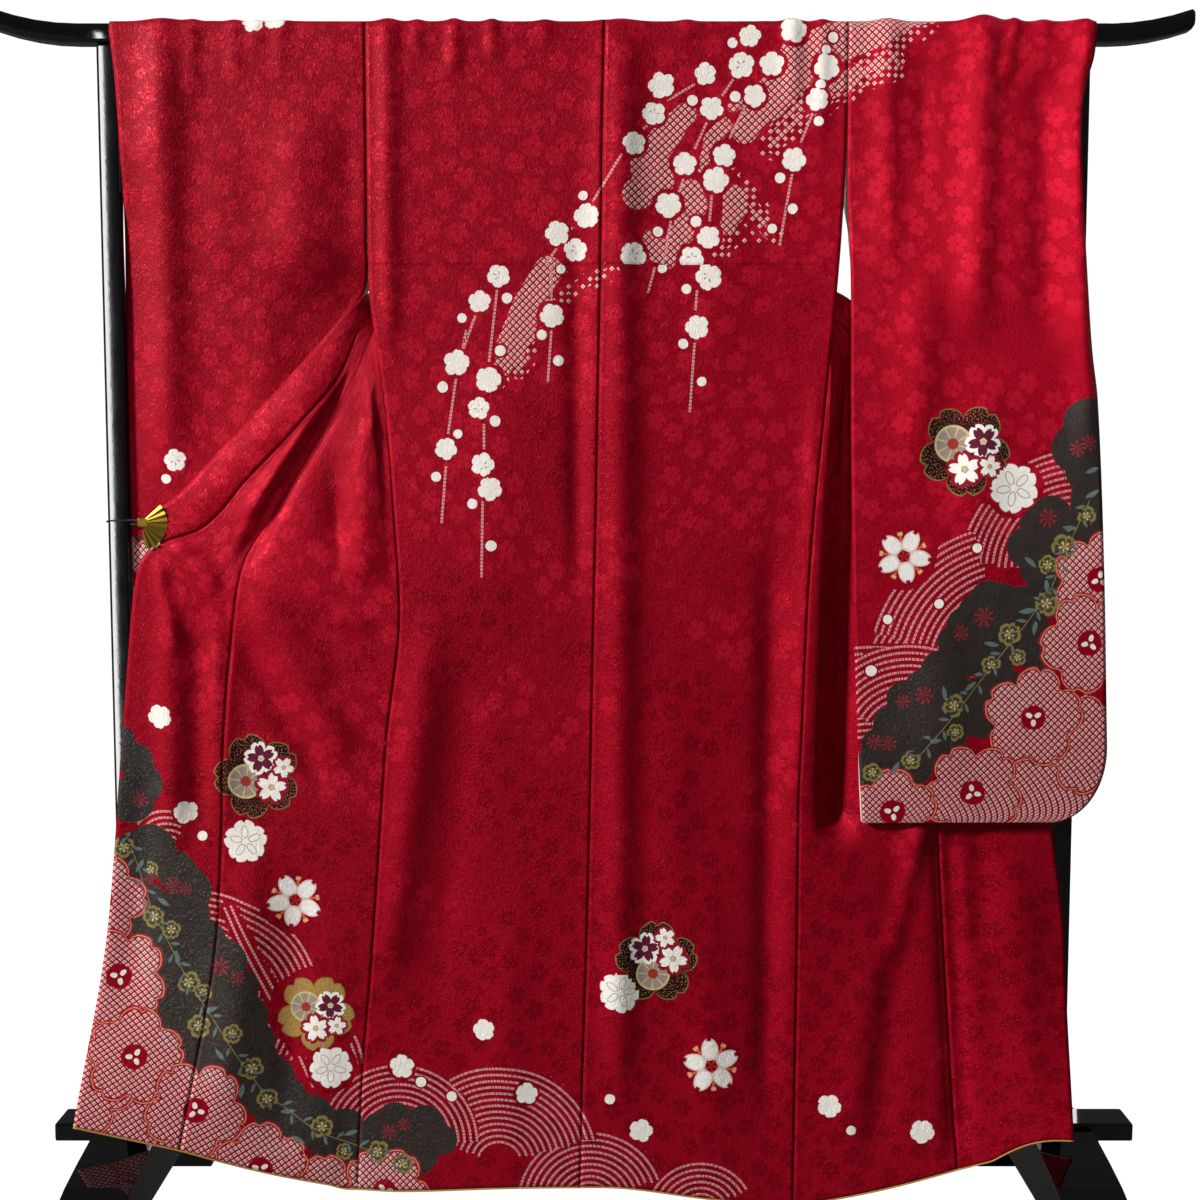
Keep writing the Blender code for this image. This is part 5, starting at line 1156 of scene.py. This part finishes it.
    # Blossoms and buds in white paste and thread, with painted shade in the crepe's pebbles
    white = paint(node, linear(s["white"]), ("whiteShade", pebble, 0.55))
    plumMask = mask(plumRadius, plumOutline, 0.05)
    marks = meet(node("Math GREATER_THAN", plumW, 0.80), mask(plumRadius, 0.42, 0.04),
                 mask(0.14, plumRadius, 0.04), node("Math GREATER_THAN", y, -0.1))
    colour = paint(node, colour, (white, plumMask, node("Math MAXIMUM", on["plum"], on["stamened"])),
                   (white, mask(plumRadius, 0.9, 0.08), on["bud"]), ("mark", marks, on["stamened"]))

    # White cherry with orange stamens
    cherryRadius, cherryW, _ = petals(node, evenX, evenY, 5, 0.0)
    nick = meet(mask(cherryW, 0.14, 0.06), mask(0.86, cherryRadius, 0.05))
    petal = without(node, ovalMask(node, cherryRadius, cherryW, 5, 0.59, 0.38, 0.30), nick)
    rosyEdge = without(node, petal, ovalMask(node, cherryRadius, cherryW, 5, 0.59, 0.32, 0.245))
    thread = meet(mask(0.90, cherryW, 0.06), mask(cherryRadius, 0.74))
    bead = meet(mask(0.83, cherryW, 0.06), mask(cherryRadius, 0.86), mask(0.74, cherryRadius))
    colour = paint(node, colour, ("stamen", thread, on["cherry"]), ("anther", bead, on["cherry"]),
                   (white, petal, on["cherry"]), ("rosy", rosyEdge, on["cherry"], 0.7))

    # White shaded flower with pointed petals
    shadedRadius, shadedW, shadedOutline = petals(node, evenX, evenY, 5, 0.14, 0.3, 0.76)
    vein = node("Math SUBTRACT", ovalMask(node, shadedRadius, shadedW, 5, 0.44, 0.30, 0.17),
                ovalMask(node, shadedRadius, shadedW, 5, 0.44, 0.25, 0.12), use_clamp=True)
    colour = paint(node, colour, (white, mask(shadedRadius, shadedOutline), on["shaded"]),
                   ("vein", vein, on["shaded"], 0.8))

    # Medallions: a dark or gold blossom with a wheel and small flowers in it
    medalRadius, _, medalOutline = petals(node, evenX, evenY, 5, 0.11, 0.1, 0.62)
    medal = mask(medalRadius, medalOutline, 0.02)
    speckle = node("TexVoronoi", {"Vector": weave, "Scale": 300.0}, voronoi_dimensions="2D")
    speckle = meet(node("Math LESS_THAN", speckle, 0.13), mask(0.58, medalRadius, 0.2))
    wheelRadius, wheelW, _ = petals(node, *shifted(node, evenX, evenY, s["wheel"]), 8, 0.0, 0.0, 0.96)
    for name, ground in (("darkMedal", "medalBlack"), ("goldMedal", "medalGold")):
        inner = meet(mask(medalRadius, node("Math MULTIPLY", medalOutline, 0.972), 0.02), on[name])
        wheel = meet(mask(wheelRadius, 1.0), inner)
        colour = paint(node, colour, ("gold", medal, on[name]), (ground, inner),
                       ("goldPale", speckle, inner, 0.9), ("bead", wheel),
                       ("goldPale", wheel, node("Math GREATER_THAN", wheelW, 0.84)),
                       ("goldPale", wheel, mask(0.88, wheelRadius)), ("hub", wheel, mask(wheelRadius, 0.3)))
        for *shift, petal, rim, turn in s["smallFlowers"]:
            # Five petals, rimmed, with a pale centre
            radius, w, outline = petals(node, *shifted(node, evenX, evenY, shift), 5, 0.16, turn, 0.66)
            oval = meet(ovalMask(node, radius, w, 5, 0.50, 0.34, 0.27),
                        mask(radius, node("Math MULTIPLY", outline, 0.82)))
            colour = paint(node, colour, (rim, mask(radius, outline), inner), (petal, oval, inner),
                           ("goldPale", mask(radius, 0.14), inner))

    # Gold flowers, red stars and leaves on the charcoal
    goldRim = meet(mask(plumRadius, plumOutline, 0.1),
                   mask(node("Math MULTIPLY", plumOutline, 0.74), plumRadius, 0.1))
    goldLines = node("Math MAXIMUM", goldRim, meet(node("Math GREATER_THAN", plumW, 0.8), plumMask))
    goldEye = meet(mask(plumRadius, 0.42, 0.1), mask(plumW, 0.4, 0.2))
    starRadius, starW, _ = petals(node, x, y, 8, 0.0, 0.0, 0.6)
    bow = node("Math MULTIPLY_ADD", meet(x, x), -0.30, 0.30)
    blade = mask(node("Math ABSOLUTE", y), bow, 0.06)
    colour = paint(node, colour, ("goldPetal", plumMask, on["goldFlower"], 0.9),
                   ("gold", goldLines, on["goldFlower"]), ("goldPale", goldEye, on["goldFlower"]),
                   ("starRed", mask(starW, 0.45, 0.2), mask(starRadius, 1.0), on["star"]),
                   ("leaf", blade, on["leaf"], cloud))

    # Centres of the large blossoms: red, with three white petals. Seams: a thin dark line of painted shade
    centreRadius, centreW, _ = petals(node, evenX, evenY, 3, 0.0, 0.25, 0.8)
    seeds = ovalMask(node, centreRadius, centreW, 3, 0.42, 0.27, 0.20)
    colour = paint(node, colour, ("ground", mask(plumRadius, plumOutline, 0.1), on["bloomCentre"]),
                   (white, seeds, on["bloomCentre"]), ("deep", mask(seamAway, 0.8, 0.9), 0.55))

    # Relief: crepe pebbles, figures a touch raised, tied dots in little peaks, seams drawn in
    height = node("Math MULTIPLY_ADD", wrinkle, 0.35, grain)
    dots = meet(node("Math MAXIMUM", dotted, fill), ring)
    for part, rise in ((figure, 0.30), (dots, 0.9), (mask(2.2, seamAway, 4.0), 0.9)):
        height = node("Math MULTIPLY_ADD", part, rise, height)
    rough = node("Math MULTIPLY_ADD", figure, -0.08, 0.42)
    shade({"Base Color": colour, "Roughness": node("Math MULTIPLY_ADD", pebble, 0.10, rough),
           "Normal": node("Bump", {"Height": height, "Distance": 0.0013, "Strength": 0.52}),
           "Specular IOR Level": 0.9,
           "Specular Tint": paint(node, linear(s["sheen"]), ("charcoalSheen", cloud))})
    return material


def makeLining(name, upper, lower, change=0.0):
    # Plain-woven lining silk: fine even threads and a faint sheen.
    material, node, shade = newMaterial(name)
    position = node("TexCoord", output="Object")
    share = node("Math LESS_THAN", node("SeparateXYZ", position, output=2), change)
    threads = node("Mapping", {"Vector": position, "Scale": liningSettings["weft"]})
    threads = node("TexNoise", {"Vector": threads, "Scale": 1.0, "Detail": 2.0})
    colour = paint(node, linear(liningSettings[upper]), (liningSettings[lower], share),
                   (liningSettings["shadow"], threads, 0.18))
    bump = node("Bump", {"Height": threads, "Distance": 0.0002, "Strength": 0.3})
    shade({"Base Color": colour, "Normal": bump, "Roughness": 0.55})
    return material


def makeFinish(name, pattern, colours, rough, relief, **values):
    # pattern and relief: a texture, its inputs and, for relief, how strongly it bumps the surface.
    # rough: what the pattern adds to the roughness, and the roughness without it.
    material, node, shade = newMaterial(name)
    position = node("TexCoord", output="Object")
    share = node(pattern[0], {"Vector": position, **pattern[1]})
    shade({"Base Color": node("MixRGB", share, *[linear(c) for c in colours]),
           "Roughness": node("Math MULTIPLY_ADD", share, *rough), **values})
    if relief:
        peel = node(relief[0], {"Vector": position, **relief[1]})
        shade({"Normal": node("Bump", {"Height": peel, "Distance": 0.0003, "Strength": relief[2]})})
    return material


silk = makeSilk()
lining = makeLining("plain-woven lining silk, off-white and gold", "body", "gold",
                    liningSettings["goldBelow"])
sleeveLining = makeLining("plain-woven lining silk, off-white", "sleeve", "sleeve")
goldSilk = makeLining("gold hem silk, rolled", "gold", "gold")
# Urushi on wood: near black, with sharp reflections and a faint orange peel
lacquer = makeFinish("black polished lacquer on wood", ("TexNoise", {"Scale": 30.0, "Detail": 4.0}),
                     ("#020203", "#060607"), (0.02, 0.015),
                     ("TexNoise", {"Scale": 220.0, "Detail": 1.0}, 0.008), IOR=1.5)
# Warm reflections, with a mottled tone
gilt = makeFinish("stamped gilt brass", ("TexNoise", {"Scale": 260.0, "Detail": 3.0}),
                  ("#C9A33F", "#8A6A22"), (0.25, 0.20), None, Metallic=1.0)
# Matt threads wound at a slant
braid = {"Scale": 500.0, "Distortion": 1.0}
elastic = makeFinish("braided black elastic", ("TexWave", braid), ("#060607", "#1B1B1D"), (0.0, 0.8),
                     ("TexWave", braid, 0.5))
print("materials ready")


hemSettings = {"radius": 0.0013, "sides": 8, "okumi": 0.14, "front": 0.235, "back": 0.31, "lastRow": 14.0}


def makeHem(side):
    # The lining turned out along the hem as a thin gold roll.
    name = "hem_edge_" + cuts[side]["name"]
    last = np.array([hemSettings["lastRow"]])
    outer = okumiGrid(side, last, fineShares(hemSettings["okumi"]))[0]
    front = frontGrid(side, last, fineShares(hemSettings["front"]))[0]
    heights = np.array([clothSettings["shoulder"], cuts[side]["side"]["z"][-1]])
    back = backGrid(side, heights, fineShares(hemSettings["back"]))[1]
    radius = hemSettings["radius"]
    line = np.concatenate([outer[:-1], front[1:-1], back[::-1]])
    line = line + np.array([0.0, clothSettings["thickness"] / 2, -radius * 0.9])
    tangent = unit(np.gradient(line, axis=0))
    up = unit(np.array([0.0, 0.0, 1.0]) - tangent * tangent[:, 2:3])
    sideways = np.cross(tangent, up)
    count = hemSettings["sides"]
    ring = np.linspace(0, 2 * np.pi, count + 1)[:-1]
    points = (line[:, None, :] + radius * (np.cos(ring)[None, :, None] * sideways[:, None, :]
                                           + np.sin(ring)[None, :, None] * up[:, None, :]))
    faces = []
    for i in range(0, (len(line) - 1) * count, count):
        for j in range(count):
            k = (j + 1) % count
            faces.append([i + j, i + count + j, i + count + k, i + k])
    faces.append(list(range(count)))
    faces.append([(len(line) - 1) * count + j for j in reversed(range(count))])
    mesh = bpy.data.meshes.new(name)
    mesh.from_pydata(points.reshape(-1, 3).tolist(), [], faces)
    work = bmesh.new()
    work.from_mesh(mesh)
    bmesh.ops.recalc_face_normals(work, faces=work.faces)
    work.to_mesh(mesh)
    work.free()
    mesh.shade_smooth()
    mesh.materials.append(goldSilk)
    piece = bpy.data.objects.new(name + "_roll", mesh)
    bpy.context.scene.collection.objects.link(piece)
    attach(piece, "root")
    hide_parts(name)
    return piece


hemRolls = {side: makeHem(side) for side in (-1, 1)}
print("hem rolls made")


# neckRows: the rows at which the mesh of the front and the collar starts anew, from the bar down
bodySettings = {"width": 0.31, "flat": (0.315, 3.26), "share": 0.86,
                "neckRows": (0.08, 0.5, 1, 2, 3, 3.5, 4, 4.5, 5, 5.5, 6, 6.5, 7, 8, 9, 10),
                "tuckRows": (1.3585, 1.3565),
                # The tuck's line is painted shade, drawn like a seam's.
                "tuckShade": 0.85}      # millimetres that make the tuck's line fainter than a seam's


def makeBody(side):
    # Back panel up over the bar and down the front, in one piece
    name = "body_" + cuts[side]["name"]
    width = bodySettings["width"]
    shares = fineShares(width)
    neck = int(round(clothSettings["neckShare"] * (len(shares) - 1)))
    lowest = cuts[side]["side"]["z"][-1]
    marks = np.array([clothSettings["shoulder"], *bodySettings["tuckRows"],
                      clothSettings["backKnee"], lowest])
    back = backGrid(side, stepsBetween(marks, -np.diff(marks)), shares)[::-1]
    top = back[-1]
    over = clothOverBar(top, lambda z: -clothY - top[:, 1],
                        lambda z: foldHeight(cuts[side]["farFront"], top[:, 0], z))
    rows = fineRows(side, *bodySettings["neckRows"], 11, 12, 13, 14)
    front = np.full((len(rows), len(shares), 3), np.nan)
    front[:, neck:] = frontGrid(side, rows, (shares[neck:] - shares[neck]) / (1 - shares[neck]))
    neckline = [np.full(neck, clothY), np.full(neck, clothSettings["neckHeight"] + gap)]
    front[0, :neck] = np.stack([top[:neck, 0], *neckline], -1)
    grid = np.concatenate([back, over, front])
    along = pathLength(grid[:, -1])
    across = shares * width
    charted = grid[..., (0, 2)] * 1000
    first, last = len(back), len(back) + len(over)
    farFrom = first + len(over) // 2
    rise = along[first:farFrom, None] - along[first - 1]
    charted[first:farFrom, :, 1] = (clothSettings["shoulder"] + rise) * 1000
    behind = slice(farFrom, last + int(np.searchsorted(rows, 5.0)))
    charted[behind, :, 0] = motifSettings["mirrorX"] - charted[behind, :, 0]
    seamAway = np.full(grid.shape[:2], motifSettings["unseen"])
    seamAway[:first] = np.abs(back[..., 2] - clothSettings["tuckHeight"]) * 1000 + bodySettings["tuckShade"]
    seamAway = np.minimum(seamAway, (width - across) * 1000)
    seamAway[:last] = np.minimum(seamAway[:last], across * 1000)
    seamAway[last:] = np.minimum(seamAway[last:], np.abs(across - across[neck]) * 1000)
    piece = makeCloth(name, side, grid, weavePlace(along, side * across, lowest), charted, seamAway, lining)


for side in (-1, 1):
    makeBody(side)


okumiSettings = {"width": 0.14, "flat": (0.15, 1.36), "share": 0.82}


def makeOkumi(side):
    rows = fineRows(side, 5.3, 5.75, 6, 6.5, 7, 8, 9, 10, 11, 12, 13, 14)
    shares = fineShares(okumiSettings["width"])
    grid = okumiGrid(side, rows, shares)
    across = shares * okumiSettings["width"]
    weave = weavePlace(pathLength(grid[:, -1]), side * (0.40 - across), 2.2)
    piece = makeCloth("okumi_" + cuts[side]["name"], side, grid, weave, grid[..., (0, 2)] * 1000,
                      (okumiSettings["width"] - across) * 1000, lining)


for side in (-1, 1):
    makeOkumi(side)


collarSettings = {"width": 0.055, "drawn": 0.8, "flat": (0.055, 2.06), "neck": (-0.025, 0.056, 9),
                  "middle": 0.015, "neckFold": 1.600, "neckDip": 0.004, "gather": 0.40}


def makeCollar():
    shares = fineShares(collarSettings["width"] * collarSettings["drawn"])
    left, right = [collarGrid(side, fineRows(side, *bodySettings["neckRows"], 10.5), shares)
                   for side in (-1, 1)]
    middle = collarSettings["middle"]
    neck = []
    for x in np.linspace(*collarSettings["neck"]):
        dip = collarSettings["neckDip"] * (abs(x - middle) / 0.085) ** 2
        seam = np.array([x, clothY + clothSettings["neckLift"], clothSettings["neckHeight"] - gap])
        foldX = lerp(x, middle, collarSettings["gather"])
        fold = np.array([foldX, clothY + 0.005, collarSettings["neckFold"] - dip])
        neck.append([lerp(seam, fold, v) for v in shares])
    grid = np.concatenate([left[::-1], np.array(neck), right])
    across = shares * collarSettings["width"]
    # The collar has no motifs.
    charted = grid[..., (0, 2)] * 1000 + (motifSettings["offChart"], 0)
    piece = makeCloth("collar", 0, grid, weavePlace(pathLength(grid[:, 0]), 0.7 + across), charted,
                      across * 1000, silk, clothSettings["collarThickness"])


makeCollar()


sleeveSettings = {"width": 0.335, "flat": (0.34, 2.14), "share": 0.96, "mirrorBelow": 1.0}


def makeSleeve(side):
    cut = cuts[side]
    width = sleeveSettings["width"]
    shares = fineShares(width)
    bottom, corner = clothSettings["sleeveBottom"], clothSettings["cornerHeight"]
    marks = np.array([clothSettings["shoulder"], clothSettings["cuffEnd"], bottom + corner])
    turns = np.radians(np.linspace(0, 86, 26)[1:])
    heights = np.concatenate([stepsBetween(marks, -np.diff(marks)), bottom + corner * (1 - np.sin(turns))])
    near = sleeveLayer(side, "near", heights, shares)
    over = clothOverBar(near[0], lambda z: foldHeight(cut["near"], near[0, :, 0], z),
                        lambda z: foldHeight(cut["far"], near[0, :, 0], z), edgeFade(shares))
    loop = np.concatenate([near[::-1], over, sleeveLayer(side, "far", heights, shares), near[-1:]])
    # Below the cuff's opening the two layers are sewn together at the wrist.
    count = len(heights)
    k = np.arange(int(np.argmin(np.abs(heights - clothSettings["cuffEnd"]))), count - 1)
    behind = count + len(over) + k
    wrist = np.stack([count - 1 - k, behind, behind + 1, count - 2 - k], -1) * len(shares) + len(shares) - 1
    along = pathLength(loop[:, len(shares) // 2])
    across = shares * width
    charted = loop[..., (0, 2)] * 1000
    top = count + len(over) // 2
    rise = along[count:top, None] - along[count - 1]
    charted[count:top, :, 1] = (clothSettings["shoulder"] + rise) * 1000
    if side < 0:
        mirrored = loop[..., 2] < sleeveSettings["mirrorBelow"]
        mirrored[top:] = True
        charted[mirrored, 0] = motifSettings["mirrorX"] - charted[mirrored, 0]
    piece = makeCloth("sleeve_" + cut["name"], side, loop, weavePlace(along, side * (1.2 + across)), charted,
                      np.minimum(across, width - across) * 1000, sleeveLining, sewn=[wrist])


for side in (-1, 1):
    makeSleeve(side)


# Rack, clips and elastic keep their CAD shapes

for material, names in ((lacquer, ("bar", "beam", "post_left", "post_right", "foot_left", "foot_right")),
                        (gilt, ("clip_left", "clip_right")),
                        (elastic, ("clip_cord_left", "clip_cord_right"))):
    for name in names:
        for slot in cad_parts[name].material_slots:
            slot.material = material
print("rack finished")
